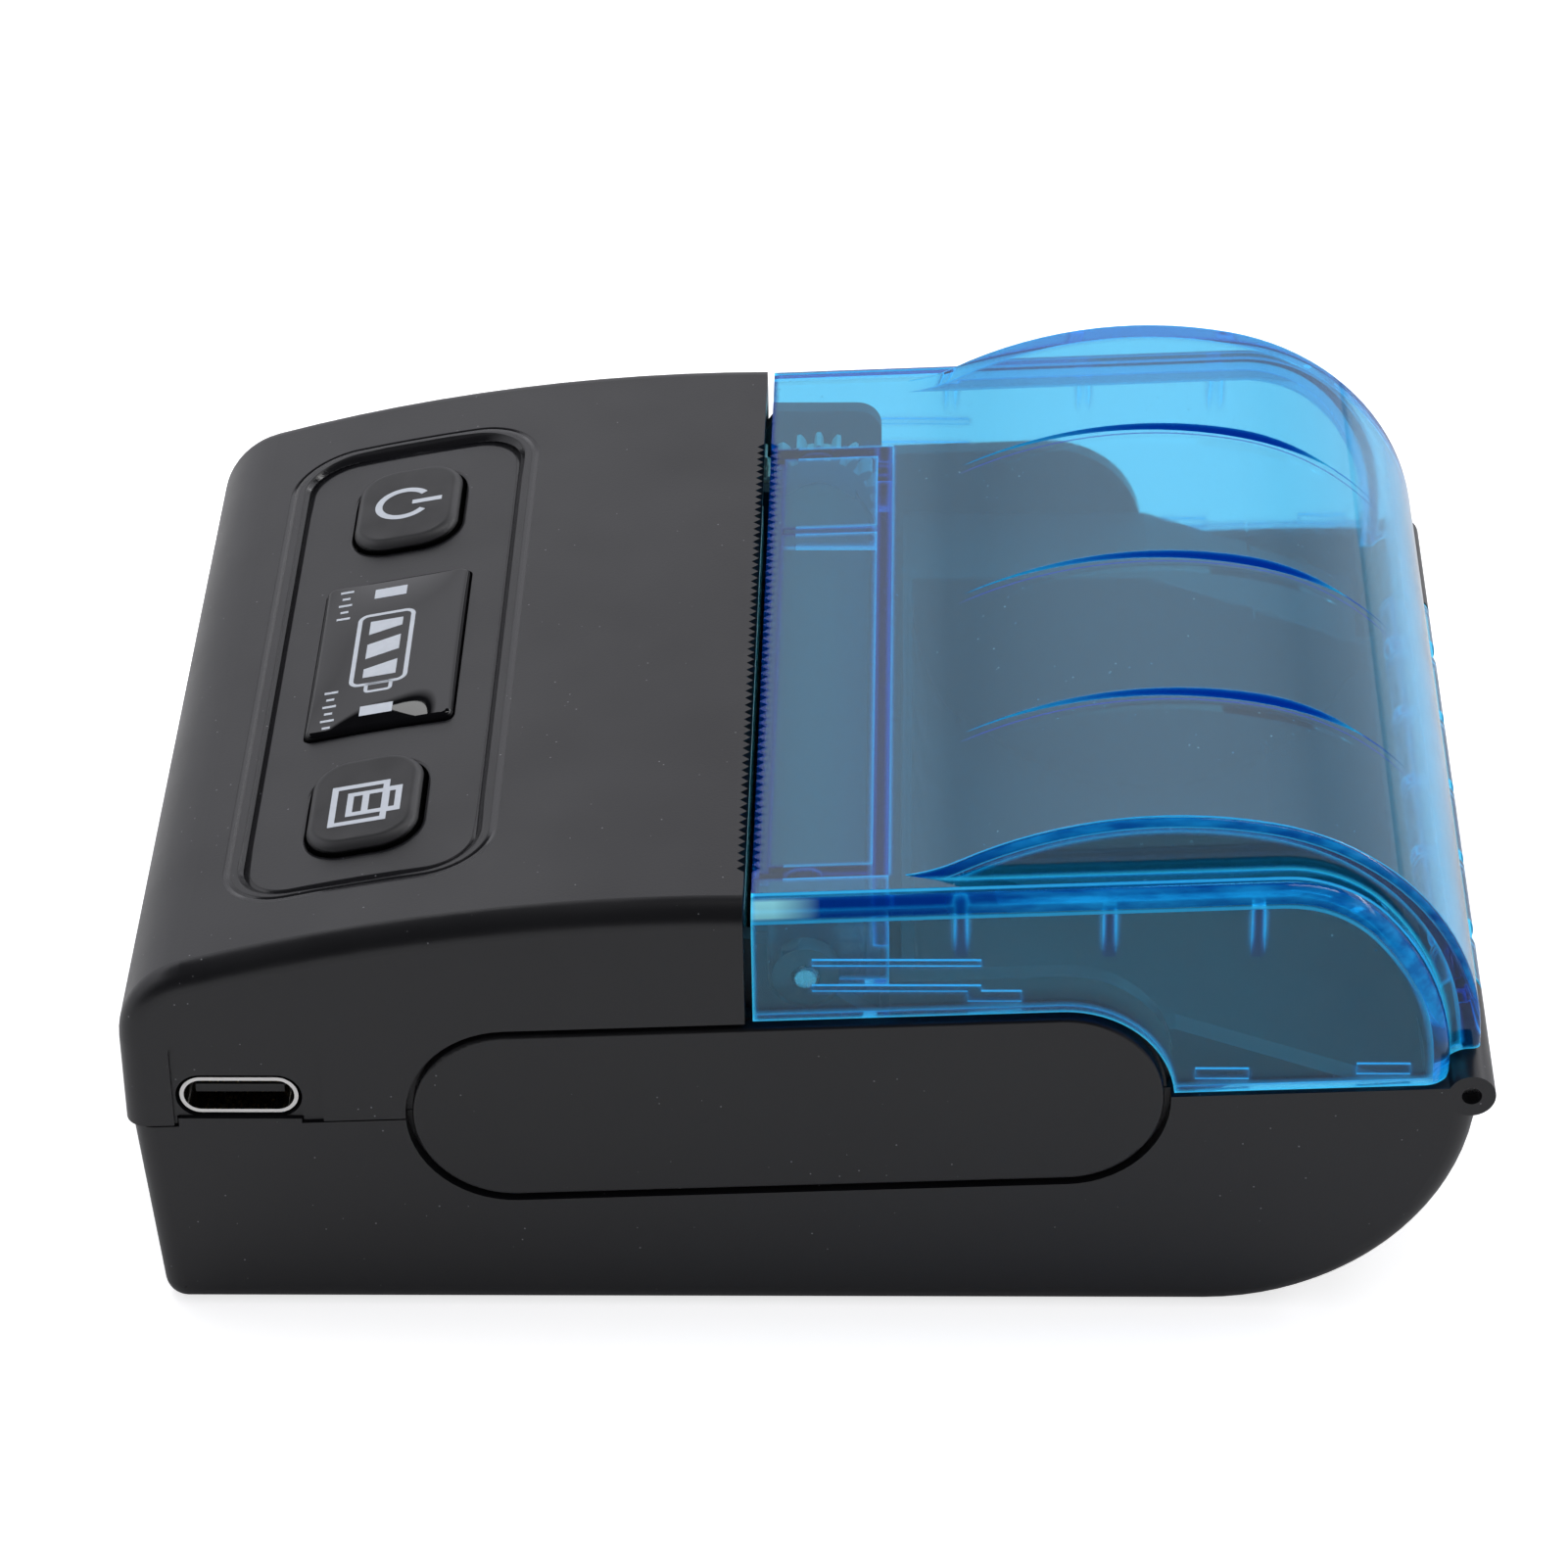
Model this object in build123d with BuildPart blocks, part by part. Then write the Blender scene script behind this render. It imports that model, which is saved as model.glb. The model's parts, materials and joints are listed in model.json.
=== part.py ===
from build123d import *
import os
from math import asin, atan, atan2, cos, degrees, pi, radians, sin, sqrt, tan, acos

os.makedirs("parts", exist_ok=True)

# Portable receipt printer for paper rolls, in millimetres. It stands on its flat base. X runs across
# it, Y from the nose to the hinge and Z up. The origin is on the base, under the middle of the printer.

# Case, outside
WIDTH = 80.0
NOSE_REACH = 51.4
REAR_REACH = 50.2
TOP_Z = 37.3
TEAR_Y = -4.5
TOP_RADIUS = 150.0
NOSE_RADIUS = 7.0
REAR_RADIUS = 20.0
CORNER_RADIUS = 1.8
FOOT_RADIUS = 1.8
NOSE_OVERHANG = 0.5
NOSE_LEAN = 1.4

# The parting line of the two case halves rises gently towards the hinge
PART_Z = 19.05
PART_SLOPE = 0.0395
SEAM = 0.12

# Case walls
SIDE_WALL = 2.0
TOP_WALL = 2.2
BASE_WALL = 2.0

# Side inserts, stadium shaped, seated in pockets across the parting line
GRIP_LENGTH = 56.4
GRIP_HEIGHT = 14.9
GRIP_THICK = 1.2
GRIP_Y = -1.45
GRIP_GROOVE = 0.5
GRIP_EDGE = 0.3
GRIP_REST = 0.2
GRIP_LEDGE = 1.2
GRIP_BACKING = 1.2

# Cheeks of the upper case that stand inside the paper cover's side walls
CHEEK_FRONT_Y = 6.2
CHEEK_THICK = 1.5
CHEEK_LIFT = 2.3
CHEEK_GROW = 0.6
CHEEK_CLEAR = 0.6

# Control panel on the curved top
PANEL_X = 0.3
PANEL_NOSE_ROOM = 17.6
PANEL_SIDE_ROOM = 7.65
PANEL_LENGTH = 20.2
PANEL_CORNER = 5.0
PANEL_DEPTH = 0.5
PANEL_STEP = 1.0

# Display window
LENS_WIDTH = 21.8
LENS_LENGTH = 11.9
LENS_THICK = 1.3
LENS_CORNER = 0.8
LENS_CROWN = 0.45
LENS_GAP = 0.15
LENS_LEDGE = 1.0

# Push buttons and their switches
BUTTON_END_ROOM = 10.7
BUTTON_WIDTH = 11.8
BUTTON_LENGTH = 8.8
BUTTON_CORNER = 3.2
BUTTON_PROUD = 0.95
BUTTON_GAP = 0.3
BUTTON_PILLOW = 0.8
BUTTON_FLANGE = 0.8
BUTTON_FLANGE_GAP = 0.4
BUTTON_TRAVEL = 0.4
BUTTON_STEM_RADIUS = 1.5
BUTTON_STEM = 1.0
SWITCH_SIZE = 6.0
SWITCH_HEIGHT = 3.4
SWITCH_CORNER = 0.3
PLUNGER_RADIUS = 1.7
PLUNGER_PROUD = 0.6
PLUNGER_DEPTH = 1.0

# Button board, light guide and lamps under the panel
BUTTON_BOARD_INSET = 2.85
BUTTON_BOARD_LENGTH = 18.0
BUTTON_BOARD_CORNER = 1.0
BOARD_THICK = 1.2
GUIDE_CLEAR = 0.5
GUIDE_TOP_GAP = 0.1
LAMP_LENGTH = 1.6
LAMP_WIDTH = 0.9
LAMP_HEIGHT = 0.7
LAMP_PITCH = 4.2
LAMP_COUNT = 5

# Charging port in the right side, on the main board
USB_NOSE_ROOM = 8.8
USB_Z = 19.9
USB_WIDTH = 8.94
USB_HEIGHT = 3.26
USB_LENGTH = 7.3
USB_WALL = 0.3
USB_RECESS = 0.4
USB_GAP = 0.3
USB_TONGUE_WIDTH = 6.69
USB_TONGUE_THICK = 0.7
USB_TONGUE_SETBACK = 0.9
USB_PAD_COUNT = 12
USB_PAD_PITCH = 0.5
USB_PAD_WIDTH = 0.3
USB_PAD_LENGTH = 3.4
USB_PAD_THICK = 0.06
PORT_RECESS_WIDTH = 11.3
PORT_RECESS_TOP = 5.1
PORT_RECESS_DEPTH = 0.25
PORT_RECESS_SHIFT = 0.65
PORT_RECESS_CORNER = 1.0
PORT_TONGUE_RISE = 0.6

# Main board and battery
MAIN_BOARD_SIDE_ROOM = 4.5
MAIN_BOARD_NOSE_ROOM = 3.8
MAIN_BOARD_MOTOR_ROOM = 1.8
BATTERY_SIDE_ROOM = 14.0
BATTERY_LENGTH = 29.0
BATTERY_HEIGHT = 10.0
BATTERY_NOSE_ROOM = 7.7
BATTERY_CORNER = 2.0

# Screws and the bosses that they hold
SCREW_RADIUS = 1.0
SCREW_HEAD_RADIUS = 1.9
SCREW_HEAD_HEIGHT = 1.2
SCREW_DRIVE_WIDTH = 0.5
SCREW_DRIVE_LENGTH = 2.3
SCREW_DRIVE_DEPTH = 0.7
BOSS_RADIUS = 2.7
POST_RADIUS = 1.7
CASE_SCREW_LENGTH = 12.0
CASE_SCREW_SEAT = 11.0
FRONT_SCREW_SIDE_ROOM = 11.1
FRONT_SCREW_NOSE_ROOM = 6.4
REAR_SCREW_SIDE_ROOM = 7.0
REAR_SCREW_MOTOR_ROOM = 1.9
BOARD_SCREW_LENGTH = 5.0
BOARD_SCREW_SIDE_ROOM = 6.6
BOARD_SCREW_PORT_ROOM = 0.4
BOARD_SCREW_X = 12.0
BOARD_SCREW_INSET = 1.8
PANEL_SCREW_INSET = 9.5
PANEL_SCREW_Y = 7.2
FRAME_SCREW_LENGTH = 5.0
FRAME_SCREW_SIDE_ROOM = 4.7
FRAME_SCREW_MOTOR_ROOM = 4.5
FRAME_SCREW_EDGE = 2.4
SCREW_CLEAR = 0.3

# Paper path, set towards the right of the case because the gears sit on the left
PATH_X = 4.3
PAPER_SIDE_ROOM = 11.25
TOOTH_PITCH = 1.0
TOOTH_DEPTH = 0.55
TOOTH_HEIGHT = 1.6
TEAR_GAP = 0.6
TEAR_MARGIN = 2.1

# Platen roller, its shaft and bushes
PLATEN_Y = 0.0
PLATEN_Z = 29.5
PLATEN_RADIUS = 4.3
PLATEN_SHAFT_RADIUS = 1.0
PLATEN_MARGIN = 0.2
BUSH_RADIUS = 2.5
BUSH_COLLAR_RADIUS = 1.9
SHAFT_PLAY = 0.04
SHAFT_END = 0.3
SHAFT_CHAMFER = 0.2
ROLLER_CHAMFER = 0.3

# Print mechanism
RUN_GAP = 0.3
PLATE_THICK = 1.5
PLATE_EDGE = 0.8
PLATE_CORNER = 1.5
PLATE_STEP = 3.5
PLATE_SLOPE_Y = 3.0
PLATE_SLOPE_DROP = 1.0
FRAME_FLOOR_Z = 14.0
FRAME_FLOOR_THICK = 1.2
FRAME_FRONT_Y = -9.5
FRAME_REAR_Y = 5.5
FRAME_TOP_Z = 32.5
GUIDE_RADIUS = 5.1
GUIDE_FLOOR_Z = 22.4
GUIDE_RIM_Z = 27.0
HEAD_GAP = 0.3
HEAD_THICK = 1.0
HEAD_HEIGHT = 14.0
HEAD_RISE = 3.0
SINK_THICK = 2.0
SINK_DROP = 1.5
HEAD_PIVOT_RADIUS = 0.8
BRIDGE_THICK = 1.2
BRIDGE_HEIGHT = 4.2
BRIDGE_Z = 29.7
SPRING_LENGTH = 4.8
SPRING_RADIUS = 1.6
SPRING_WIRE_RADIUS = 0.17
SPRING_TURNS = 5
SPRING_SPREAD = 14.0
SPRING_SEAT_GAP = 0.02
SPRING_SAMPLES = 400
SENSOR_WIDTH = 4.2
SENSOR_LENGTH = 3.4
SENSOR_HEIGHT = 1.6
SENSOR_HOLE_RADIUS = 0.8
SENSOR_SHIFT = 1.2

# Gear train and motor
GEAR_MODULE = 0.5
GEAR_WIDTH = 2.2
GEAR_LAYER_GAP = 0.3
PLATEN_TEETH = 20
IDLER_SMALL_TEETH = 14
IDLER_LARGE_TEETH = 30
PINION_TEETH = 13
PRESSURE_ANGLE = 20.0
TOOTH_TIP = 0.85
TOOTH_ROOT = 1.3
FLANK_STEPS = 4
TOOTH_PLAY = 0.1
IDLER_ANGLE = 205.0
MOTOR_ANGLE = 210.0
MOTOR_RADIUS = 6.7
MOTOR_LENGTH = 12.5
MOTOR_SHAFT_RADIUS = 0.75
MOTOR_BORE_DEPTH = 5.0
MOTOR_EDGE_RADIUS = 0.8
MOTOR_HUB_LENGTH = 0.8
GEARBOX_THICK = 1.5
GEARBOX_GAP = 0.45
GEARBOX_TOP_Z = 35.2
GUARD_CEILING_GAP = 1.2
GUARD_CORNER = 2.0
GUARD_EDGE = 1.8
GUARD_REAR_EDGE = 0.2
GUARD_TAIL_DROP = 10.0
GUARD_BROW_Y = 6.0
GUARD_BROW_RISE = 8.0
GUARD_FOOT_Y = 8.4
GUARD_POST_RADIUS = 1.2
GUARD_POST_INSET = 1.5
GUARD_POST_RISE = 10.0
GUARD_FOOT_POST_Y = 5.5
GUARD_REAR_POST_DROP = 8.0

# Hinge of the paper cover
HINGE_INSET = 0.6
HINGE_Z = 20.25
HINGE_RADIUS = 1.8
HINGE_PIN_RADIUS = 0.75
HINGE_PIN_PLAY = 0.06
HINGE_PIN_RECESS = 1.2
HINGE_SWEEP = 0.4
KNUCKLE_LENGTH = 12.8
BARREL_GAP = 0.35
BARREL_SLOT_PITCH = 10.0
BARREL_SLOT_RISE = 1.0
BARREL_SLOT_WIDTH = 1.2
BARREL_END_SLOT_WIDTH = 2.4

# Paper cover, outside
LID_WALL = 1.5
LID_SEAT = 0.4
LID_GRIP_GAP = 0.75
LID_BLANK_Z = 15.0
SHELF_REAR_ROOM = 15.2
SHELF_RADIUS = 10.0
SHELF_TURN = 50.0
LID_BACK_RADIUS = 20.0
LID_EDGE_RADIUS = 2.0
BULGE_STEP = 3.0
BULGE_FRONT_Y = 6.3
BULGE_SINK = 0.05
BULGE_BLEND_RADIUS = 11.5
BULGE_BLEND_TURN = 25.7
BULGE_OVERREACH = 0.2
BULGE_TURN = 39.3
BULGE_REAR_RADIUS = 20.0
BULGE_EDGE_RADIUS = 0.8

# Paper cover, details
GROOVE_EDGE_ROOM = 17.3
GROOVE_DEPTH = 0.55
GROOVE_HALF = 1.8
GROOVE_REACH = 2.0
# Where a groove starts, is measured and ends, as shares of the bulge's three arcs
GROOVE_START = 0.74
GROOVE_MIDDLE = 0.65
GROOVE_END = 0.31
SIDE_RIB_WIDTH = 1.0
SIDE_RIB_DEPTH = 1.0
SIDE_RIB_PITCH = 10.9
SIDE_RIB_COUNT = 3
SIDE_RIB_FIRST_Y = 11.5
SIDE_RIB_BOTTOM_Z = 32.4
SIDE_TAB_LENGTH = 4.0
SIDE_TAB_HEIGHT = 0.9
SIDE_TAB_DEPTH = 0.25
SIDE_TAB_RISE = 0.5
SIDE_TAB_GRIP_Y = 14.0
SIDE_TAB_REAR_ROOMS = [19.2, 7.2]
SIDE_STRIPE_START_Y = 0.5
SIDE_STRIPE_END_Y = 13.0
SIDE_STRIPE_HEIGHT = 0.5
SIDE_STRIPE_PLACES = [29.2, 31.5]
HOLDER_WALL = 1.5
HOLDER_GAP = 0.5
HOLDER_REAR_Y = 6.2
HOLDER_REAR_WALL = 1.2
HOLDER_REAR_BOTTOM_Z = 30.4
HOLDER_END_BOTTOM_Z = 27.4
HOLDER_RIB_ROOM = 10.95
HOLDER_RIB_THICK = 1.0
HOLDER_RIB_BOTTOM_Z = 34.4
LIP_BOTTOM_Z = 34.6
LIP_THICK = 1.2

# Paper bin
BIN_FRONT_Y = 7.0
BIN_REAR_ROOM = 2.0
BIN_WALL = 1.0
BIN_SIDE_WALL = 1.2
BIN_SIDE_CLEAR = 1.1
BIN_FRONT_Z = 24.0
BIN_REAR_DROP = 0.4
BIN_DECK_THICK = 1.2
BIN_DECK_HINGE_ROOM = 4.1
BIN_CASE_CLEAR = 0.3

# Flat ribbons
RIBBON_THICK = 0.25
HEAD_RIBBON_WIDTH = 24.0
PANEL_RIBBON_WIDTH = 7.0
PANEL_RIBBON_SIDE_ROOM = 14.0
RIBBON_BEND = 1.5
RIBBON_RISE = 4.0
RIBBON_TUCK = 0.6
RIBBON_SAG = 4.0
RIBBON_LIFT = 1.0
RIBBON_END = 5.0

# How far a cut, or the search for an edge, runs past the face that it starts from
CUT_MARGIN = 1.0

# Values that follow from the sizes above
HALF_WIDTH = WIDTH / 2
PAPER_WIDTH = WIDTH - 2 * PAPER_SIDE_ROOM
PANEL_Y = PANEL_NOSE_ROOM - NOSE_REACH
PANEL_WIDTH = WIDTH - 2 * PANEL_SIDE_ROOM
BUTTON_PITCH = PANEL_WIDTH - 2 * BUTTON_END_ROOM
BUTTON_BOARD_WIDTH = PANEL_WIDTH - 2 * BUTTON_BOARD_INSET
PANEL_SCREW_X = BUTTON_BOARD_WIDTH / 2 - PANEL_SCREW_INSET
PANEL_RIBBON_X = HALF_WIDTH - PANEL_RIBBON_SIDE_ROOM
USB_Y = USB_NOSE_ROOM - NOSE_REACH
BULGE_WIDTH = WIDTH - 2 * BULGE_STEP
GROOVE_PITCH = BULGE_WIDTH / 2 - GROOVE_EDGE_ROOM
HINGE_Y = REAR_REACH - HINGE_INSET
SHELF_END_Y = REAR_REACH - SHELF_REAR_ROOM
BLANK_TOP = PART_Z * 2
LID_FRONT_Y = TEAR_Y + TEAR_GAP
ROLLER_HALF = PAPER_WIDTH / 2 + PLATEN_MARGIN
HOLDER_HALF = ROLLER_HALF + HOLDER_GAP
HOLDER_RIB_OFFSET = HOLDER_RIB_ROOM - ROLLER_HALF
PLATE_HALF = HOLDER_HALF + HOLDER_WALL + RUN_GAP
LEFT_PLATE_X = PATH_X - PLATE_HALF
RIGHT_PLATE_X = PATH_X + PLATE_HALF
GEAR_INNER_X = LEFT_PLATE_X - PLATE_THICK - HOLDER_GAP
GEAR_OUTER_X = GEAR_INNER_X - GEAR_WIDTH - GEAR_LAYER_GAP
GEARBOX_X = GEAR_OUTER_X - GEAR_WIDTH - GEARBOX_GAP
SHAFT_RIGHT_X = RIGHT_PLATE_X + PLATE_THICK + SHAFT_END
HEAD_Y = PLATEN_Y - PLATEN_RADIUS - HEAD_GAP
HEAD_TOP_Z = PLATEN_Z + HEAD_RISE
HEAD_BOTTOM_Z = HEAD_TOP_Z - HEAD_HEIGHT
SINK_Y = HEAD_Y - HEAD_THICK
SINK_FRONT_Y = SINK_Y - SINK_THICK
BRIDGE_Y = SINK_FRONT_Y - SPRING_LENGTH
HEAD_PIVOT_Y = SINK_Y - SINK_THICK / 2
HEAD_PIVOT_Z = HEAD_BOTTOM_Z - SINK_DROP + 2 * HEAD_PIVOT_RADIUS
KNUCKLE_INNER_X = HALF_WIDTH - KNUCKLE_LENGTH
BARREL_HALF = KNUCKLE_INNER_X - BARREL_GAP
LID_INNER_X = HALF_WIDTH - LID_WALL
CHEEK_X = LID_INNER_X - CHEEK_CLEAR
BIN_HALF = PAPER_WIDTH / 2 + BIN_SIDE_CLEAR
MAIN_BOARD_TOP = USB_Z - USB_HEIGHT / 2
BUTTON_TOP = BUTTON_PROUD - PANEL_DEPTH
FLANGE_TOP = -TOP_WALL - BUTTON_FLANGE_GAP
FLANGE_BOTTOM = FLANGE_TOP - BUTTON_FLANGE
STEM_BOTTOM = FLANGE_BOTTOM - BUTTON_STEM
SWITCH_TOP = STEM_BOTTOM - PLUNGER_PROUD
BUTTON_BOARD_TOP = SWITCH_TOP - SWITCH_HEIGHT
SLOPE_ANGLE = degrees(atan(PART_SLOPE))
IDLER_REACH = GEAR_MODULE * (PLATEN_TEETH + IDLER_SMALL_TEETH) / 2
IDLER_Y = PLATEN_Y + IDLER_REACH * cos(radians(IDLER_ANGLE))
IDLER_Z = PLATEN_Z + IDLER_REACH * sin(radians(IDLER_ANGLE))
MOTOR_REACH = GEAR_MODULE * (PINION_TEETH + IDLER_LARGE_TEETH) / 2
MOTOR_Y = IDLER_Y + MOTOR_REACH * cos(radians(MOTOR_ANGLE))
MOTOR_Z = IDLER_Z + MOTOR_REACH * sin(radians(MOTOR_ANGLE))
MAIN_BOARD_WIDTH = WIDTH - 2 * MAIN_BOARD_SIDE_ROOM
MAIN_BOARD_FRONT_Y = MAIN_BOARD_NOSE_ROOM - NOSE_REACH
MAIN_BOARD_REAR_Y = MOTOR_Y - MOTOR_RADIUS - MAIN_BOARD_MOTOR_ROOM
MAIN_BOARD_MIDDLE_Y = (MAIN_BOARD_FRONT_Y + MAIN_BOARD_REAR_Y) / 2
BATTERY_WIDTH = WIDTH - 2 * BATTERY_SIDE_ROOM
BATTERY_Y = BATTERY_NOSE_ROOM - NOSE_REACH + BATTERY_LENGTH / 2
FRONT_SCREW_X = HALF_WIDTH - FRONT_SCREW_SIDE_ROOM
FRONT_SCREW_Y = FRONT_SCREW_NOSE_ROOM - NOSE_REACH
REAR_SCREW_X = HALF_WIDTH - REAR_SCREW_SIDE_ROOM
REAR_SCREW_Y = MOTOR_Y - MOTOR_RADIUS - REAR_SCREW_MOTOR_ROOM
CASE_SCREW_PLACES = [(side * FRONT_SCREW_X, FRONT_SCREW_Y) for side in (-1, 1)]
CASE_SCREW_PLACES += [(side * REAR_SCREW_X, REAR_SCREW_Y) for side in (-1, 1)]
BOARD_SIDE_SCREW_X = HALF_WIDTH - BOARD_SCREW_SIDE_ROOM
BOARD_SIDE_SCREW_Y = USB_Y + USB_WIDTH / 2 + SCREW_HEAD_RADIUS + BOARD_SCREW_PORT_ROOM
BOARD_FRONT_SCREW_Y = MAIN_BOARD_FRONT_Y + BOARD_SCREW_INSET
BOARD_SCREW_PLACES = [(side * BOARD_SIDE_SCREW_X, BOARD_SIDE_SCREW_Y) for side in (-1, 1)]
BOARD_SCREW_PLACES += [(side * BOARD_SCREW_X, BOARD_FRONT_SCREW_Y) for side in (-1, 1)]
FRAME_SCREW_RIGHT_X = RIGHT_PLATE_X - FRAME_SCREW_SIDE_ROOM
FRAME_SCREW_PLACES = [
    (LEFT_PLATE_X + MOTOR_LENGTH + FRAME_SCREW_MOTOR_ROOM, FRAME_FRONT_Y + FRAME_SCREW_EDGE),
    (FRAME_SCREW_RIGHT_X, FRAME_FRONT_Y + FRAME_SCREW_EDGE),
    (LEFT_PLATE_X + FRAME_SCREW_SIDE_ROOM, FRAME_REAR_Y - FRAME_SCREW_EDGE),
    (FRAME_SCREW_RIGHT_X, FRAME_REAR_Y - FRAME_SCREW_EDGE),
]
BIN_RADIUS = (REAR_REACH - BIN_REAR_ROOM - BIN_FRONT_Y) / 2
ROLL_Y = BIN_FRONT_Y + BIN_RADIUS
ROLL_Z = BASE_WALL + BIN_RADIUS
BIN_DECK_REAR_Y = HINGE_Y - BIN_DECK_HINGE_ROOM
BIN_LEFT = PATH_X - BIN_HALF
BIN_RIGHT = PATH_X + BIN_HALF
BIN_EDGE = CHEEK_X - CHEEK_THICK - BIN_CASE_CLEAR
BIN_REAR_Z = HINGE_Z - HINGE_RADIUS - BARREL_GAP - BIN_REAR_DROP

# The crown of the cover's bulge spans what its hollow front and its rear leave of the run
BULGE_CLIMB = radians(SLOPE_ANGLE + BULGE_BLEND_TURN)
BULGE_FALL = radians(BULGE_TURN) - BULGE_CLIMB
BULGE_RUN = REAR_REACH + BULGE_OVERREACH - BULGE_FRONT_Y
BULGE_BLEND_RUN = BULGE_BLEND_RADIUS * (sin(BULGE_CLIMB) - sin(radians(SLOPE_ANGLE)))
BULGE_REAR_RUN = BULGE_REAR_RADIUS * (1 - sin(BULGE_FALL))
BULGE_CROWN_RUN = BULGE_RUN - BULGE_BLEND_RUN - BULGE_REAR_RUN
BULGE_RADIUS = BULGE_CROWN_RUN / (sin(BULGE_CLIMB) + sin(BULGE_FALL))
print("bulge crown radius", round(BULGE_RADIUS, 3))


def part_z(y):
    """Height of the parting line at a distance y along the printer."""
    return PART_Z + PART_SLOPE * y


def top_z(y, inset=0.0):
    """Height of the curved top at y, or of the same curve moved in by inset."""
    return TOP_Z - TOP_RADIUS + sqrt((TOP_RADIUS - inset) ** 2 - (y - TEAR_Y) ** 2)


def shelf_z(y):
    """Height of the flat part of the paper cover's top at y."""
    return TOP_Z + PART_SLOPE * (y - LID_FRONT_Y)


def front_side(inset, rear_y):
    """Side view of the front of the case: flat nose, rounded brow and long curved top."""
    brow_y = NOSE_RADIUS - NOSE_REACH
    rise = sqrt((TOP_RADIUS - NOSE_RADIUS) ** 2 - (brow_y - TEAR_Y) ** 2)
    meet = 180 - degrees(atan2(rise, TEAR_Y - brow_y))
    with BuildSketch(Plane.YZ) as side:
        with BuildLine():
            centre = (brow_y, TOP_Z - TOP_RADIUS + rise)
            brow = CenterArc(centre, NOSE_RADIUS - inset, 180, meet - 180)
            top = CenterArc((TEAR_Y, TOP_Z - TOP_RADIUS), TOP_RADIUS - inset, meet, 90 - meet)
            rear = [(rear_y, TOP_Z - inset)] if rear_y > TEAR_Y else []
            Polyline(top @ 1, *rear, (rear_y, 0), (inset - NOSE_REACH, 0), brow @ 0)
        make_face()
    return side.sketch


def base_side(inset):
    """Side view of the lower case: leaning nose, flat base and large round rear."""
    curve_y = REAR_REACH - REAR_RADIUS
    nose_y = NOSE_OVERHANG - NOSE_REACH + inset
    lean = NOSE_LEAN / part_z(-NOSE_REACH)
    with BuildSketch(Plane.YZ) as side:
        with BuildLine():
            curve = CenterArc((curve_y, REAR_RADIUS), REAR_RADIUS - inset, -90, 90)
            Polyline(
                curve @ 1,
                (REAR_REACH - inset, BLANK_TOP),
                (nose_y - lean * (BLANK_TOP - part_z(-NOSE_REACH)), BLANK_TOP),
                (nose_y + NOSE_LEAN - lean * inset, inset),
                curve @ 0,
            )
        make_face()
    return side.sketch


def beyond_parting(up, gap):
    """Side view of all that lies above (up = 1) or below (up = -1) the parting line."""
    far_y = 2 * NOSE_REACH
    with BuildSketch(Plane.YZ) as side:
        with BuildLine():
            Polyline(
                (-far_y, part_z(-far_y) + gap),
                (far_y, part_z(far_y) + gap),
                (far_y, part_z(far_y) + gap + up * far_y),
                (-far_y, part_z(-far_y) + gap + up * far_y),
                close=True,
            )
        make_face()
    return side.sketch


def grip_plane(side, depth=0.0, lift=0.0):
    """Plane along the parting line in a side wall, depth below its surface."""
    return Plane(
        origin=(side * (HALF_WIDTH - depth), GRIP_Y, part_z(GRIP_Y) + lift),
        x_dir=(0, 1, PART_SLOPE),
        z_dir=(side, 0, 0),
    )


def grip_slab(side, depth, thick, grow, lift=0.0):
    """Stadium-shaped slab of the side insert's outline, grown all round by grow."""
    with BuildPart() as slab:
        with BuildSketch(grip_plane(side, depth, lift)):
            SlotOverall(GRIP_LENGTH + 2 * grow, GRIP_HEIGHT + 2 * grow)
        extrude(amount=-thick)
    return slab.part


def slab_yz(points, x, thick):
    """Plate square to X with the corner points given as (y, z), from x towards x + thick."""
    with BuildPart() as plate:
        with BuildSketch(Plane.YZ.offset(x)):
            with BuildLine():
                Polyline(*points, close=True)
            make_face()
        extrude(amount=thick)
    return plate.part


def rod_x(y, z, radius, x_from, x_to):
    """Round rod along X between two stations."""
    with BuildPart() as rod:
        with BuildSketch(Plane.YZ.offset(x_from)):
            with Locations((y, z)):
                Circle(radius)
        extrude(amount=x_to - x_from)
    return rod.part


def block(x_from, x_to, y_from, y_to, z_from, z_to):
    """Plain block between two corners."""
    with BuildPart() as brick:
        with Locations(((x_from + x_to) / 2, (y_from + y_to) / 2, (z_from + z_to) / 2)):
            Box(x_to - x_from, y_to - y_from, z_to - z_from)
    return brick.part


PANEL_TILT = asin((TEAR_Y - PANEL_Y) / TOP_RADIUS)
PANEL_PLANE = Plane(
    origin=(PANEL_X, PANEL_Y, top_z(PANEL_Y)),
    x_dir=(1, 0, 0),
    z_dir=(0, -sin(PANEL_TILT), cos(PANEL_TILT)),
)


def panel_prism(width, length, corner, top, bottom, x=0.0):
    """Rounded block standing square to the control panel, between two heights above it."""
    with BuildPart() as prism:
        with BuildSketch(PANEL_PLANE.offset(top)):
            with Locations((x, 0)):
                RectangleRounded(width, length, corner)
        extrude(amount=bottom - top)
    return prism.part


def panel_rod(radius, top, bottom, x, y=0.0):
    """Round rod standing square to the control panel, between two heights above it."""
    with BuildPart() as rod:
        with BuildSketch(PANEL_PLANE.offset(top)):
            with Locations((x, y)):
                Circle(radius)
        extrude(amount=bottom - top)
    return rod.part


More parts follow.
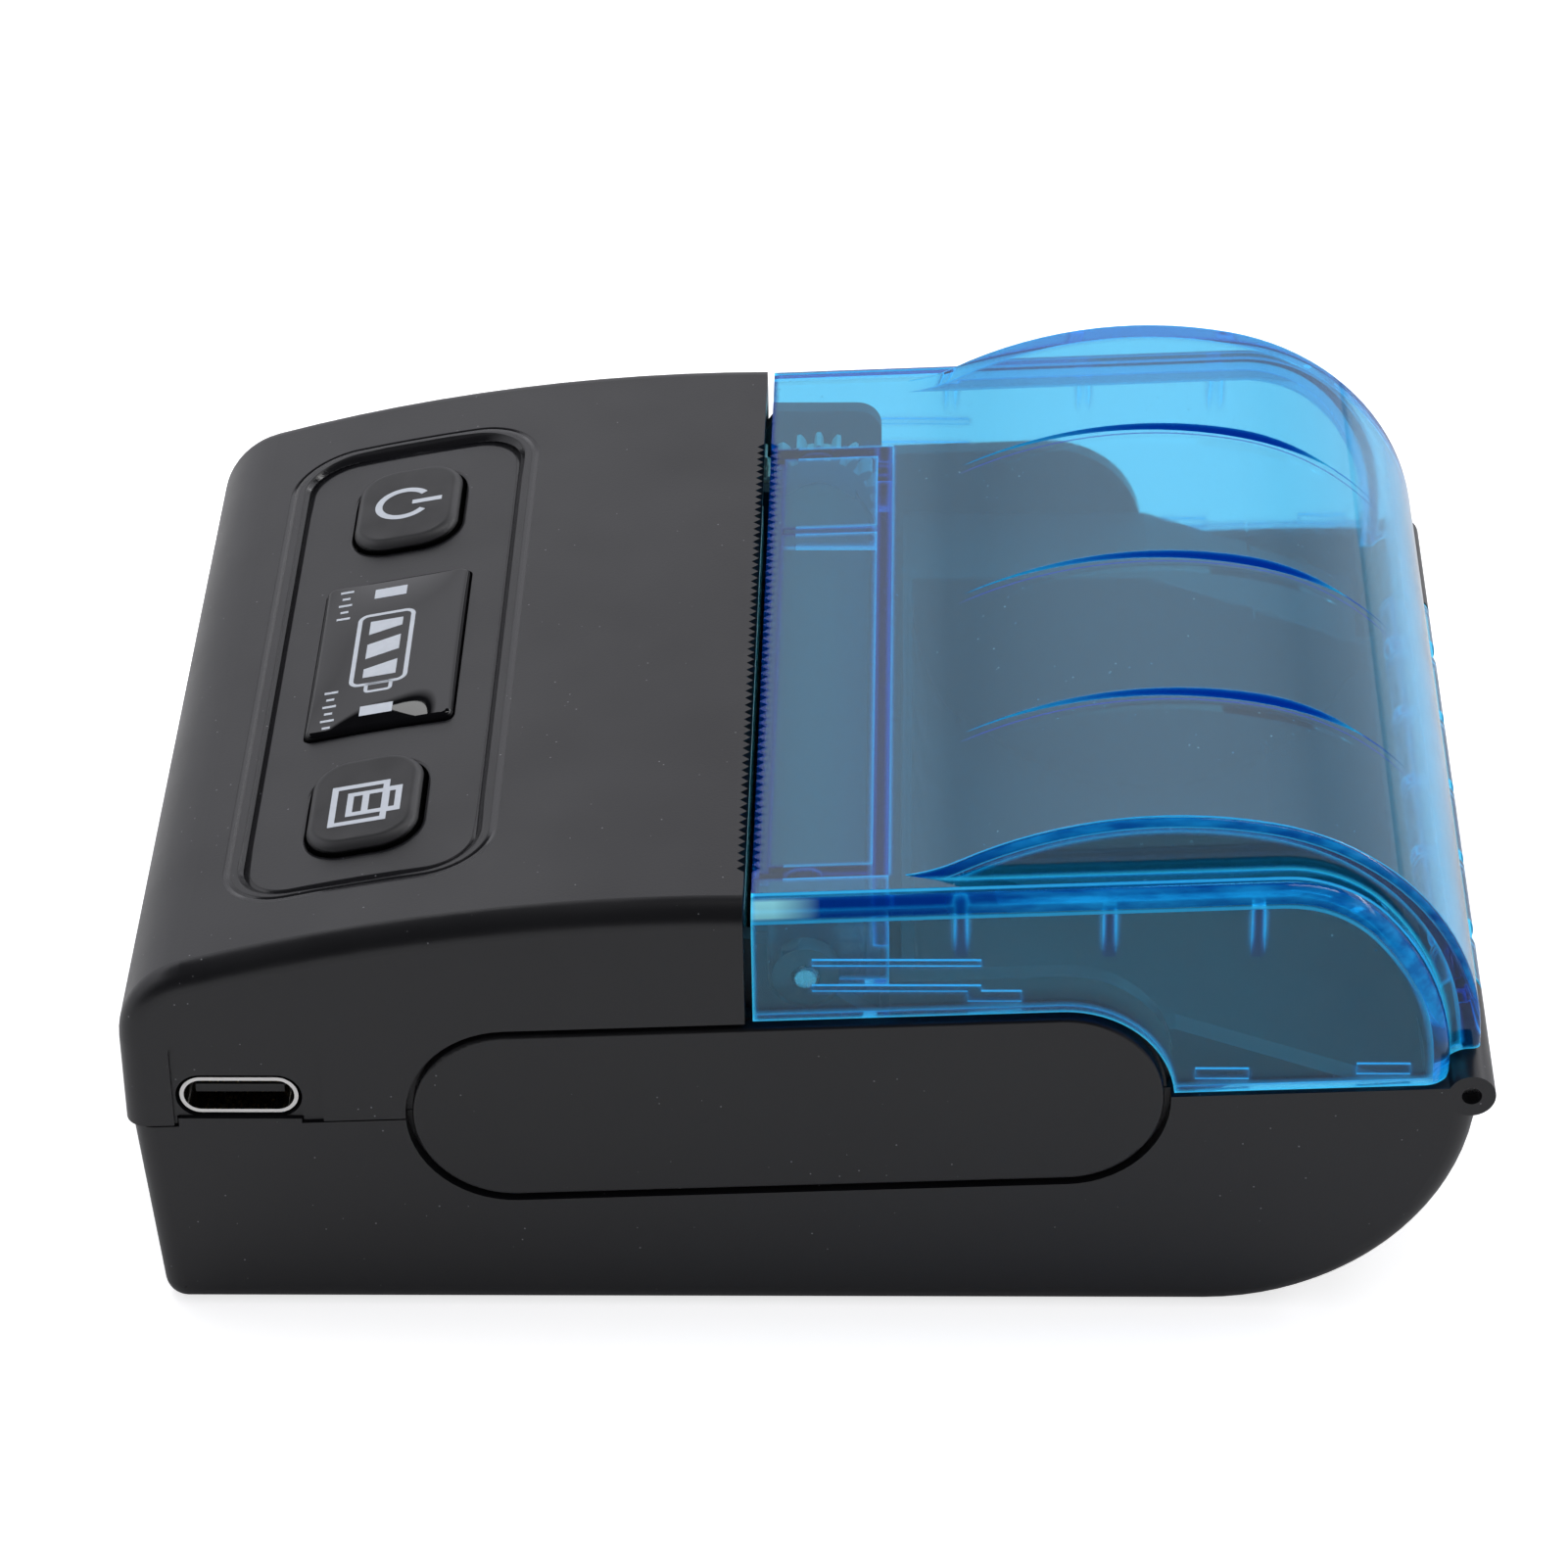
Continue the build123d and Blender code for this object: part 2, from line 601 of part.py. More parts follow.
def saw_strip(tip_y, into, z_from, z_to, width):
    """Row of V-shaped notches along X, cut from tip_y towards the side given by into."""
    count = round(width / TOOTH_PITCH)
    start = PATH_X - count * TOOTH_PITCH / 2
    points = [(start, tip_y)]
    for i in range(count):
        points.append((start + (i + 0.5) * TOOTH_PITCH, tip_y + into * TOOTH_DEPTH))
        points.append((start + (i + 1) * TOOTH_PITCH, tip_y))
    clear_y = tip_y - into * TEAR_GAP / 2
    with BuildPart() as strip:
        with BuildSketch(Plane.XY.offset(z_from)):
            with BuildLine():
                Polyline(*points, (start + count * TOOTH_PITCH, clear_y), (start, clear_y), close=True)
            make_face()
        extrude(amount=z_to - z_from)
    return strip.part


def screw(length, plane, places):
    """Cross-head screws standing on a plane, heads out, at the given places."""
    with BuildPart() as fasteners:
        with BuildSketch(plane):
            with Locations(*places):
                Circle(SCREW_HEAD_RADIUS)
        extrude(amount=SCREW_HEAD_HEIGHT)
        with BuildSketch(plane):
            with Locations(*places):
                Circle(SCREW_RADIUS)
        extrude(amount=-length)
        along = Axis(plane.origin, plane.z_dir)
        tips = fasteners.faces().filter_by(along).group_by(along)[0]
        chamfer(tips.edges(), SCREW_RADIUS / 2)
        with BuildSketch(plane.offset(SCREW_HEAD_HEIGHT)):
            with Locations(*places):
                Rectangle(SCREW_DRIVE_LENGTH, SCREW_DRIVE_WIDTH)
                Rectangle(SCREW_DRIVE_WIDTH, SCREW_DRIVE_LENGTH)
        extrude(amount=-SCREW_DRIVE_DEPTH, mode=Mode.SUBTRACT)
    return fasteners.part


# Tear edge width, shared by the case and the cover
TEAR_WIDTH = PAPER_WIDTH + 2 * TEAR_MARGIN


# Lower case: an open tray with a round rear, screw bosses, board posts and two hinge knuckles
with BuildPart() as lower_case:
    extrude(base_side(0), amount=HALF_WIDTH, both=True)
    fillet(edges().filter_by(Axis.X).group_by(Axis.Z)[0].sort_by(Axis.Y)[0], FOOT_RADIUS)
    side_edges = faces().filter_by(Axis.X).edges()
    fillet(side_edges.filter_by(lambda e: e.center().Z < BLANK_TOP - FOOT_RADIUS), CORNER_RADIUS)
    extrude(base_side(BASE_WALL), amount=HALF_WIDTH - SIDE_WALL, both=True, mode=Mode.SUBTRACT)
    for side in (-1, 1):
        add(grip_slab(side, GRIP_THICK, GRIP_BACKING, GRIP_GROOVE + GRIP_LEDGE))
        add(grip_slab(side, 0, GRIP_THICK, GRIP_GROOVE), mode=Mode.SUBTRACT)
    extrude(beyond_parting(1, 0), amount=WIDTH, both=True, mode=Mode.SUBTRACT)

    # Case bosses, counterbored from below
    for x, y in CASE_SCREW_PLACES:
        with BuildSketch(Plane.XY.offset(part_z(y))):
            with Locations((x, y)):
                Circle(BOSS_RADIUS)
        extrude(amount=BASE_WALL / 2 - part_z(y))
        with BuildSketch():
            with Locations((x, y)):
                Circle(SCREW_HEAD_RADIUS + SCREW_CLEAR)
        extrude(amount=CASE_SCREW_SEAT, mode=Mode.SUBTRACT)
        with BuildSketch():
            with Locations((x, y)):
                Circle(SCREW_RADIUS)
        extrude(amount=BLANK_TOP, mode=Mode.SUBTRACT)

    # Posts under the main board and under the print mechanism
    for places, top, length in (
        (BOARD_SCREW_PLACES, MAIN_BOARD_TOP - BOARD_THICK, BOARD_SCREW_LENGTH),
        (FRAME_SCREW_PLACES, FRAME_FLOOR_Z, FRAME_SCREW_LENGTH),
    ):
        with BuildSketch(Plane.XY.offset(top)):
            with Locations(*places):
                Circle(POST_RADIUS)
        extrude(amount=BASE_WALL / 2 - top)
        with BuildSketch(Plane.XY.offset(top)):
            with Locations(*places):
                Circle(SCREW_RADIUS)
        extrude(amount=-length, mode=Mode.SUBTRACT)

    # Tongue that rises under the charging port
    tongue_half = (USB_WIDTH / 2) + USB_GAP
    add(
        block(
            HALF_WIDTH - SIDE_WALL, HALF_WIDTH,
            USB_Y - tongue_half + SEAM, USB_Y + tongue_half - SEAM,
            part_z(USB_Y) - SIDE_WALL, part_z(USB_Y) + PORT_TONGUE_RISE,
        )
    )

    # Hinge knuckles at both ends, and room between them for the cover's barrel
    add(
        rod_x(HINGE_Y, HINGE_Z, HINGE_RADIUS + BARREL_GAP, -KNUCKLE_INNER_X, KNUCKLE_INNER_X),
        mode=Mode.SUBTRACT,
    )
    for side in (-1, 1):
        add(rod_x(HINGE_Y, HINGE_Z, HINGE_RADIUS, side * KNUCKLE_INNER_X, side * HALF_WIDTH))
    add(rod_x(HINGE_Y, HINGE_Z, HINGE_PIN_RADIUS, -HALF_WIDTH, HALF_WIDTH), mode=Mode.SUBTRACT)
lower_case.part.label = "lower_case"
export_step(lower_case.part, "parts/lower_case.step")


# Upper case: nose, curved top with the control panel, and two cheeks beside the paper bin
with BuildPart() as panel_recess:
    floor_width = PANEL_WIDTH - 2 * PANEL_STEP
    floor_length = PANEL_LENGTH - 2 * PANEL_STEP
    with BuildSketch(PANEL_PLANE.offset(-PANEL_DEPTH)):
        RectangleRounded(floor_width, floor_length, PANEL_CORNER - PANEL_STEP)
    extrude(amount=2 * PANEL_DEPTH, taper=-degrees(atan(PANEL_STEP / PANEL_DEPTH)))
    with BuildSketch(PANEL_PLANE.offset(-PANEL_DEPTH)):
        RectangleRounded(floor_width, floor_length, PANEL_CORNER - PANEL_STEP)
    extrude(amount=-PANEL_DEPTH)
    extrude(front_side(PANEL_DEPTH, TEAR_Y), amount=HALF_WIDTH, both=True, mode=Mode.SUBTRACT)

with BuildPart() as upper_bosses:
    for x, y in CASE_SCREW_PLACES:
        with BuildSketch(Plane.XY.offset(part_z(y) + SEAM)):
            with Locations((x, y)):
                Circle(BOSS_RADIUS)
        extrude(amount=TOP_Z)
    extrude(front_side(TOP_WALL / 2, TEAR_Y), amount=HALF_WIDTH, both=True, mode=Mode.INTERSECT)

with BuildPart() as upper_case:
    extrude(front_side(0, TEAR_Y), amount=HALF_WIDTH, both=True)
    side_edges = faces().filter_by(Axis.X).edges()
    rounded = side_edges.filter_by(lambda e: e.center().Z > CUT_MARGIN and e.center().Y < TEAR_Y - CUT_MARGIN)
    fillet(rounded, CORNER_RADIUS)
    extrude(
        front_side(TOP_WALL, TEAR_Y + TOP_WALL),
        amount=HALF_WIDTH - SIDE_WALL, both=True, mode=Mode.SUBTRACT,
    )
    for side in (-1, 1):
        add(grip_slab(side, GRIP_THICK, GRIP_BACKING, GRIP_GROOVE + GRIP_LEDGE))
    # The backing plates stop level with the insert where the cover comes down over them
    behind = slab_yz(
        [(TEAR_Y, 0), (REAR_REACH, 0), (REAR_REACH, BLANK_TOP), (TEAR_Y, BLANK_TOP)],
        -HALF_WIDTH, WIDTH,
    )
    add(behind, mode=Mode.SUBTRACT)
    for side in (-1, 1):
        add(grip_slab(side, GRIP_THICK, GRIP_BACKING, GRIP_REST))
        cheek = grip_slab(side, HALF_WIDTH - CHEEK_X, CHEEK_THICK, CHEEK_GROW, CHEEK_LIFT)
        reach = side * HALF_WIDTH
        add(cheek & block(min(0, reach), max(0, reach), CHEEK_FRONT_Y, REAR_REACH, 0, BLANK_TOP))
        add(grip_slab(side, 0, GRIP_THICK, GRIP_GROOVE), mode=Mode.SUBTRACT)

    # Bosses for the case screws and posts for the button board
    add(upper_bosses.part)
    with BuildSketch():
        with Locations(*CASE_SCREW_PLACES):
            Circle(SCREW_RADIUS)
    extrude(amount=CASE_SCREW_SEAT + CASE_SCREW_LENGTH, mode=Mode.SUBTRACT)
    for x in (-PANEL_SCREW_X, PANEL_SCREW_X):
        for y in (-PANEL_SCREW_Y, PANEL_SCREW_Y):
            add(panel_rod(POST_RADIUS, -TOP_WALL / 2, BUTTON_BOARD_TOP, x, y))
            screw_top = BUTTON_BOARD_TOP - BOARD_THICK + BOARD_SCREW_LENGTH
            add(panel_rod(SCREW_RADIUS, screw_top, BUTTON_BOARD_TOP, x, y), mode=Mode.SUBTRACT)

    # Recessed panel, display opening and button holes
    add(panel_recess.part, mode=Mode.SUBTRACT)
    lens_hole = (LENS_WIDTH + 2 * LENS_GAP, LENS_LENGTH + 2 * LENS_GAP)
    add(
        panel_prism(*lens_hole, LENS_CORNER, TOP_WALL, LENS_CROWN - LENS_THICK - PANEL_DEPTH),
        mode=Mode.SUBTRACT,
    )
    window = (LENS_WIDTH - 2 * LENS_LEDGE, LENS_LENGTH - 2 * LENS_LEDGE)
    add(panel_prism(*window, LENS_CORNER, TOP_WALL, -2 * TOP_WALL), mode=Mode.SUBTRACT)
    button_hole = (BUTTON_WIDTH + 2 * BUTTON_GAP, BUTTON_LENGTH + 2 * BUTTON_GAP)
    for x in (-BUTTON_PITCH / 2, BUTTON_PITCH / 2):
        add(
            panel_prism(*button_hole, BUTTON_CORNER + BUTTON_GAP, TOP_WALL, -2 * TOP_WALL, x),
            mode=Mode.SUBTRACT,
        )

    # Serrated tear edge
    tooth_floor = TOP_Z - TOOTH_HEIGHT
    add(saw_strip(TEAR_Y, -1, tooth_floor, TOP_Z + CUT_MARGIN, TEAR_WIDTH), mode=Mode.SUBTRACT)

    # Everything under the parting line goes
    extrude(beyond_parting(-1, SEAM), amount=WIDTH, both=True, mode=Mode.SUBTRACT)

    # Charging port: shallow recess, notch for the tongue and the port's own opening
    port_bottom = part_z(USB_Y) - SIDE_WALL
    with BuildSketch(Plane.YZ.offset(HALF_WIDTH)):
        with Locations((USB_Y + PORT_RECESS_SHIFT, USB_Z + PORT_RECESS_TOP / 2 - USB_HEIGHT)):
            RectangleRounded(PORT_RECESS_WIDTH, PORT_RECESS_TOP + 2 * USB_HEIGHT, PORT_RECESS_CORNER)
    extrude(amount=-PORT_RECESS_DEPTH, mode=Mode.SUBTRACT)
    add(
        block(
            HALF_WIDTH - 2 * SIDE_WALL, HALF_WIDTH + SIDE_WALL,
            USB_Y - tongue_half, USB_Y + tongue_half,
            port_bottom, part_z(USB_Y) + PORT_TONGUE_RISE + SEAM,
        ),
        mode=Mode.SUBTRACT,
    )
    with BuildSketch(Plane.YZ.offset(HALF_WIDTH)):
        with Locations((USB_Y, USB_Z)):
            SlotOverall(USB_WIDTH + 2 * USB_GAP, USB_HEIGHT + 2 * USB_GAP)
    extrude(amount=-2 * SIDE_WALL, mode=Mode.SUBTRACT)
upper_case.part.label = "upper_case"
export_step(upper_case.part, "parts/upper_case.step")


# Side inserts
for name, side in (("side_insert_left", -1), ("side_insert_right", 1)):
    with BuildPart() as insert:
        add(grip_slab(side, 0, GRIP_THICK, 0))
        outer = insert.faces().filter_by(Axis.X).sort_by(Axis.X)[-1 if side > 0 else 0]
        fillet(outer.edges(), GRIP_EDGE)
    insert.part.label = name
    export_step(insert.part, f"parts/{name}.step")


# Display window: a glossy crowned tile on the ledge of its opening
with BuildPart() as display_window:
    lens_top = LENS_CROWN - PANEL_DEPTH
    add(panel_prism(LENS_WIDTH, LENS_LENGTH, LENS_CORNER, lens_top, lens_top - LENS_THICK))
    crown = display_window.faces().sort_by(Axis(PANEL_PLANE.origin, PANEL_PLANE.z_dir))[-1]
    fillet(crown.edges(), LENS_CROWN)
display_window.part.label = "display_window"
export_step(display_window.part, "parts/display_window.step")


# Buttons: pillow-topped caps with a retaining flange and a stem, each over its switch plunger
for name, x in (("power", -BUTTON_PITCH / 2), ("feed", BUTTON_PITCH / 2)):
    with BuildPart() as button:
        add(panel_prism(BUTTON_WIDTH, BUTTON_LENGTH, BUTTON_CORNER, BUTTON_TOP, FLANGE_BOTTOM, x))
        cap = button.faces().sort_by(Axis(PANEL_PLANE.origin, PANEL_PLANE.z_dir))[-1]
        fillet(cap.edges(), BUTTON_PILLOW)
        flange = (BUTTON_WIDTH + 2 * BUTTON_FLANGE, BUTTON_LENGTH + 2 * BUTTON_FLANGE)
        add(panel_prism(*flange, BUTTON_CORNER, FLANGE_TOP, FLANGE_BOTTOM, x))
        add(panel_rod(BUTTON_STEM_RADIUS, FLANGE_BOTTOM, STEM_BOTTOM, x))
    button.part.label = f"{name}_button"
    export_step(button.part, f"parts/{name}_button.step")

    with BuildPart() as plunger:
        add(panel_rod(PLUNGER_RADIUS, STEM_BOTTOM, SWITCH_TOP - PLUNGER_DEPTH, x))
    plunger.part.label = f"{name}_plunger"
    export_step(plunger.part, f"parts/{name}_plunger.step")

    with BuildPart() as switch:
        add(panel_prism(SWITCH_SIZE, SWITCH_SIZE, SWITCH_CORNER, SWITCH_TOP, BUTTON_BOARD_TOP, x))
        well = SWITCH_TOP - PLUNGER_DEPTH - 2 * BUTTON_TRAVEL
        add(panel_rod(PLUNGER_RADIUS + BUTTON_GAP, SWITCH_TOP, well, x), mode=Mode.SUBTRACT)
    switch.part.label = f"{name}_switch"
    export_step(switch.part, f"parts/{name}_switch.step")


# Button board with its four screws, the lamps on it and the light guide over them
panel_screws = [(x, y) for x in (-PANEL_SCREW_X, PANEL_SCREW_X) for y in (-PANEL_SCREW_Y, PANEL_SCREW_Y)]
with BuildPart() as button_board:
    board_size = (BUTTON_BOARD_WIDTH, BUTTON_BOARD_LENGTH)
    add(
        panel_prism(
            *board_size, BUTTON_BOARD_CORNER, BUTTON_BOARD_TOP, BUTTON_BOARD_TOP - BOARD_THICK,
        )
    )
    for x, y in panel_screws:
        add(
            panel_rod(SCREW_RADIUS, BUTTON_BOARD_TOP, BUTTON_BOARD_TOP - BOARD_THICK, x, y),
            mode=Mode.SUBTRACT,
        )
button_board.part.label = "button_board"
export_step(button_board.part, "parts/button_board.step")

underside = PANEL_PLANE.offset(BUTTON_BOARD_TOP - BOARD_THICK)
button_board_screws = screw(
    BOARD_SCREW_LENGTH,
    Plane(origin=underside.origin, x_dir=underside.x_dir, z_dir=-underside.z_dir),
    [(x, -y) for x, y in panel_screws],
)
button_board_screws.label = "button_board_screws"
export_step(button_board_screws, "parts/button_board_screws.step")

with BuildPart() as status_lamps:
    with BuildSketch(PANEL_PLANE.offset(BUTTON_BOARD_TOP)):
        with GridLocations(LAMP_PITCH, 1, LAMP_COUNT, 1):
            Rectangle(LAMP_LENGTH, LAMP_WIDTH)
    extrude(amount=LAMP_HEIGHT)
status_lamps.part.label = "status_lamps"
export_step(status_lamps.part, "parts/status_lamps.step")

with BuildPart() as light_guide:
    guide_size = (window[0] - 2 * GUIDE_CLEAR, window[1] - 2 * GUIDE_CLEAR)
    guide_top = lens_top - LENS_THICK - GUIDE_TOP_GAP
    guide_bottom = BUTTON_BOARD_TOP + LAMP_HEIGHT + RUN_GAP
    add(panel_prism(*guide_size, LENS_CORNER, guide_top, guide_bottom))
light_guide.part.label = "light_guide"
export_step(light_guide.part, "parts/light_guide.step")


# Charging port: bright shell, dark tongue and its gilt pads
port_face_x = HALF_WIDTH - USB_RECESS
port_plane = Plane.YZ.offset(port_face_x)
with BuildPart() as usb_shell:
    with BuildSketch(port_plane):
        with Locations((USB_Y, USB_Z)):
            SlotOverall(USB_WIDTH, USB_HEIGHT)
    extrude(amount=-USB_LENGTH)
    with BuildSketch(port_plane):
        with Locations((USB_Y, USB_Z)):
            SlotOverall(USB_WIDTH - 2 * USB_WALL, USB_HEIGHT - 2 * USB_WALL)
    extrude(amount=USB_WALL - USB_LENGTH, mode=Mode.SUBTRACT)
usb_shell.part.label = "usb_shell"
export_step(usb_shell.part, "parts/usb_shell.step")

with BuildPart() as usb_tongue:
    tongue_x = port_face_x - USB_TONGUE_SETBACK
    with BuildSketch(Plane.YZ.offset(tongue_x)):
        with Locations((USB_Y, USB_Z)):
            Rectangle(USB_TONGUE_WIDTH, USB_TONGUE_THICK)
    extrude(amount=port_face_x - USB_LENGTH + USB_WALL - tongue_x)
usb_tongue.part.label = "usb_tongue"
export_step(usb_tongue.part, "parts/usb_tongue.step")

with BuildPart() as usb_pads:
    for up in (-1, 1):
        pad_z = USB_Z + up * (USB_TONGUE_THICK + USB_PAD_THICK) / 2
        pad_x = tongue_x - USB_PAD_WIDTH - USB_PAD_LENGTH / 2
        with Locations((pad_x, USB_Y, pad_z)):
            with GridLocations(1, USB_PAD_PITCH, 1, USB_PAD_COUNT):
                Box(USB_PAD_LENGTH, USB_PAD_WIDTH, USB_PAD_THICK)
usb_pads.part.label = "usb_pads"
export_step(usb_pads.part, "parts/usb_pads.step")


# Main board, cut round the case bosses, with its chips and screws
with BuildPart() as main_board:
    add(
        block(
            -MAIN_BOARD_WIDTH / 2, MAIN_BOARD_WIDTH / 2, MAIN_BOARD_FRONT_Y, MAIN_BOARD_REAR_Y,
            MAIN_BOARD_TOP - BOARD_THICK, MAIN_BOARD_TOP,
        )
    )
    with BuildSketch(Plane.XY.offset(MAIN_BOARD_TOP)):
        with Locations(*CASE_SCREW_PLACES):
            Circle(BOSS_RADIUS + SCREW_CLEAR)
        with Locations(*BOARD_SCREW_PLACES):
            Circle(SCREW_RADIUS)
    extrude(amount=-BOARD_THICK, mode=Mode.SUBTRACT)
main_board.part.label = "main_board"
export_step(main_board.part, "parts/main_board.step")

# Each chip's place as a share of the board's half width and off its middle line, then its two side
# lengths and its height
CHIP_SIZES = [
    (-0.225, -0.9, 10.0, 10.0, 1.0),
    (0.676, -2.9, 6.0, 5.0, 0.9),
    (-0.676, 2.1, 12.0, 9.0, 2.0),
]
with BuildPart() as board_chips:
    for share, off_middle, wide, long, tall in CHIP_SIZES:
        x = share * MAIN_BOARD_WIDTH / 2
        y = MAIN_BOARD_MIDDLE_Y + off_middle
        add(
            block(
                x - wide / 2, x + wide / 2, y - long / 2, y + long / 2,
                MAIN_BOARD_TOP, MAIN_BOARD_TOP + tall,
            )
        )
board_chips.part.label = "board_chips"
export_step(board_chips.part, "parts/board_chips.step")

board_screws = screw(BOARD_SCREW_LENGTH, Plane.XY.offset(MAIN_BOARD_TOP), BOARD_SCREW_PLACES)
board_screws.label = "board_screws"
export_step(board_screws, "parts/board_screws.step")


# Battery pack on the floor of the lower case
with BuildPart() as battery_pack:
    with BuildSketch(Plane.XY.offset(BASE_WALL)):
        with Locations((0, BATTERY_Y)):
            Rectangle(BATTERY_WIDTH, BATTERY_LENGTH)
    extrude(amount=BATTERY_HEIGHT)
    fillet(edges().filter_by(Axis.X), BATTERY_CORNER)
battery_pack.part.label = "battery_pack"
export_step(battery_pack.part, "parts/battery_pack.step")


# Case screws, driven up from the base
case_screws = screw(
    CASE_SCREW_LENGTH,
    Plane(origin=(0, 0, CASE_SCREW_SEAT), x_dir=(1, 0, 0), z_dir=(0, 0, -1)),
    [(x, -y) for x, y in CASE_SCREW_PLACES],
)
case_screws.label = "case_screws"
export_step(case_screws, "parts/case_screws.step")


# Gears: involute teeth, thinned a little so that they run freely
def gear_outline(teeth, phase, y, z):
    """Outline of a spur gear about (y, z) with one tooth centred at the angle phase."""
    pitch = GEAR_MODULE * teeth / 2
    base = pitch * cos(radians(PRESSURE_ANGLE))
    tip = pitch + TOOTH_TIP * GEAR_MODULE
    root = pitch - TOOTH_ROOT * GEAR_MODULE
    roll = tan(radians(PRESSURE_ANGLE)) - radians(PRESSURE_ANGLE)
    half_pitch = (pi / 2 - TOOTH_PLAY / GEAR_MODULE) / teeth
    flank = []
    start = max(base, root)
    for i in range(FLANK_STEPS + 1):
        radius = start + (tip - start) * i / FLANK_STEPS
        lean = acos(base / radius)
        flank.append((radius, half_pitch + roll - (tan(lean) - lean)))
    flank.insert(0, (root, flank[0][1]))
    points = []
    for tooth in range(teeth):
        middle = radians(phase) + 2 * pi * tooth / teeth
        for radius, half in flank:
            points.append((y + radius * cos(middle - half), z + radius * sin(middle - half)))
        for radius, half in reversed(flank):
            points.append((y + radius * cos(middle + half), z + radius * sin(middle + half)))
    return points


def mesh_phase(angle, teeth, phase, other_teeth):
    """Phase of a gear that meshes with one of the given teeth and phase, seen from it at angle."""
    return angle + 180 + 180 / other_teeth + (angle - phase) * teeth / other_teeth


def gear_disc(teeth, phase, y, z, x_from):
    """Spur gear without a bore, from x_from towards -X."""
    with BuildPart() as disc:
        with BuildSketch(Plane.YZ.offset(x_from)):
            with BuildLine():
                Polyline(*gear_outline(teeth, phase, y, z), close=True)
            make_face()
        extrude(amount=-GEAR_WIDTH)
    return disc.part


# The idler meshes with the platen gear on one side and with the motor pinion on the other
IDLER_PHASE = mesh_phase(IDLER_ANGLE, PLATEN_TEETH, 0, IDLER_SMALL_TEETH)
PINION_PHASE = mesh_phase(MOTOR_ANGLE, IDLER_LARGE_TEETH, IDLER_PHASE, PINION_TEETH)
print("idler axis", round(IDLER_Y, 3), round(IDLER_Z, 3))
print("motor axis", round(MOTOR_Y, 3), round(MOTOR_Z, 3))

with BuildPart() as platen_gear:
    add(gear_disc(PLATEN_TEETH, 0, PLATEN_Y, PLATEN_Z, GEAR_INNER_X))
    add(
        rod_x(PLATEN_Y, PLATEN_Z, PLATEN_SHAFT_RADIUS, GEAR_INNER_X, GEAR_INNER_X - GEAR_WIDTH),
        mode=Mode.SUBTRACT,
    )
platen_gear.part.label = "platen_gear"
export_step(platen_gear.part, "parts/platen_gear.step")

with BuildPart() as idler_gear:
    add(gear_disc(IDLER_SMALL_TEETH, IDLER_PHASE, IDLER_Y, IDLER_Z, GEAR_INNER_X))
    add(gear_disc(IDLER_LARGE_TEETH, IDLER_PHASE, IDLER_Y, IDLER_Z, GEAR_OUTER_X))
    hub_radius = GEAR_MODULE * (IDLER_SMALL_TEETH / 2 - TOOTH_ROOT)
    add(rod_x(IDLER_Y, IDLER_Z, hub_radius, GEAR_INNER_X, GEAR_OUTER_X))
    bore = MOTOR_SHAFT_RADIUS + SHAFT_PLAY
    add(
        rod_x(IDLER_Y, IDLER_Z, bore, GEAR_INNER_X, GEAR_OUTER_X - GEAR_WIDTH),
        mode=Mode.SUBTRACT,
    )
idler_gear.part.label = "idler_gear"
export_step(idler_gear.part, "parts/idler_gear.step")

with BuildPart() as motor_pinion:
    add(gear_disc(PINION_TEETH, PINION_PHASE, MOTOR_Y, MOTOR_Z, GEAR_OUTER_X))
    add(
        rod_x(MOTOR_Y, MOTOR_Z, MOTOR_SHAFT_RADIUS, GEAR_OUTER_X, GEAR_OUTER_X - GEAR_WIDTH),
        mode=Mode.SUBTRACT,
    )
motor_pinion.part.label = "motor_pinion"
export_step(motor_pinion.part, "parts/motor_pinion.step")

motor_shaft = rod_x(
    MOTOR_Y, MOTOR_Z, MOTOR_SHAFT_RADIUS,
    LEFT_PLATE_X + MOTOR_BORE_DEPTH - RUN_GAP, GEAR_OUTER_X - GEAR_WIDTH,
)
motor_shaft.label = "motor_shaft"
export_step(motor_shaft, "parts/motor_shaft.step")

idler_axle = rod_x(IDLER_Y, IDLER_Z, MOTOR_SHAFT_RADIUS, LEFT_PLATE_X, GEARBOX_X - GEARBOX_THICK)
idler_axle.label = "idler_axle"
export_step(idler_axle, "parts/idler_axle.step")


# Stepper motor: a can with a mounting flange against the left side plate and a rear connector
with BuildPart() as stepper_motor:
    add(rod_x(MOTOR_Y, MOTOR_Z, MOTOR_RADIUS, LEFT_PLATE_X, LEFT_PLATE_X + MOTOR_LENGTH))
    fillet(edges().filter_by(GeomType.CIRCLE).sort_by(Axis.X)[-1], MOTOR_EDGE_RADIUS)
    add(
        rod_x(
            MOTOR_Y, MOTOR_Z, MOTOR_SHAFT_RADIUS + SHAFT_PLAY,
            LEFT_PLATE_X, LEFT_PLATE_X + MOTOR_BORE_DEPTH,
        ),
        mode=Mode.SUBTRACT,
    )
    add(
        rod_x(
            MOTOR_Y, MOTOR_Z, MOTOR_RADIUS / 3,
            LEFT_PLATE_X + MOTOR_LENGTH, LEFT_PLATE_X + MOTOR_LENGTH + MOTOR_HUB_LENGTH,
        )
    )
stepper_motor.part.label = "stepper_motor"
export_step(stepper_motor.part, "parts/stepper_motor.step")


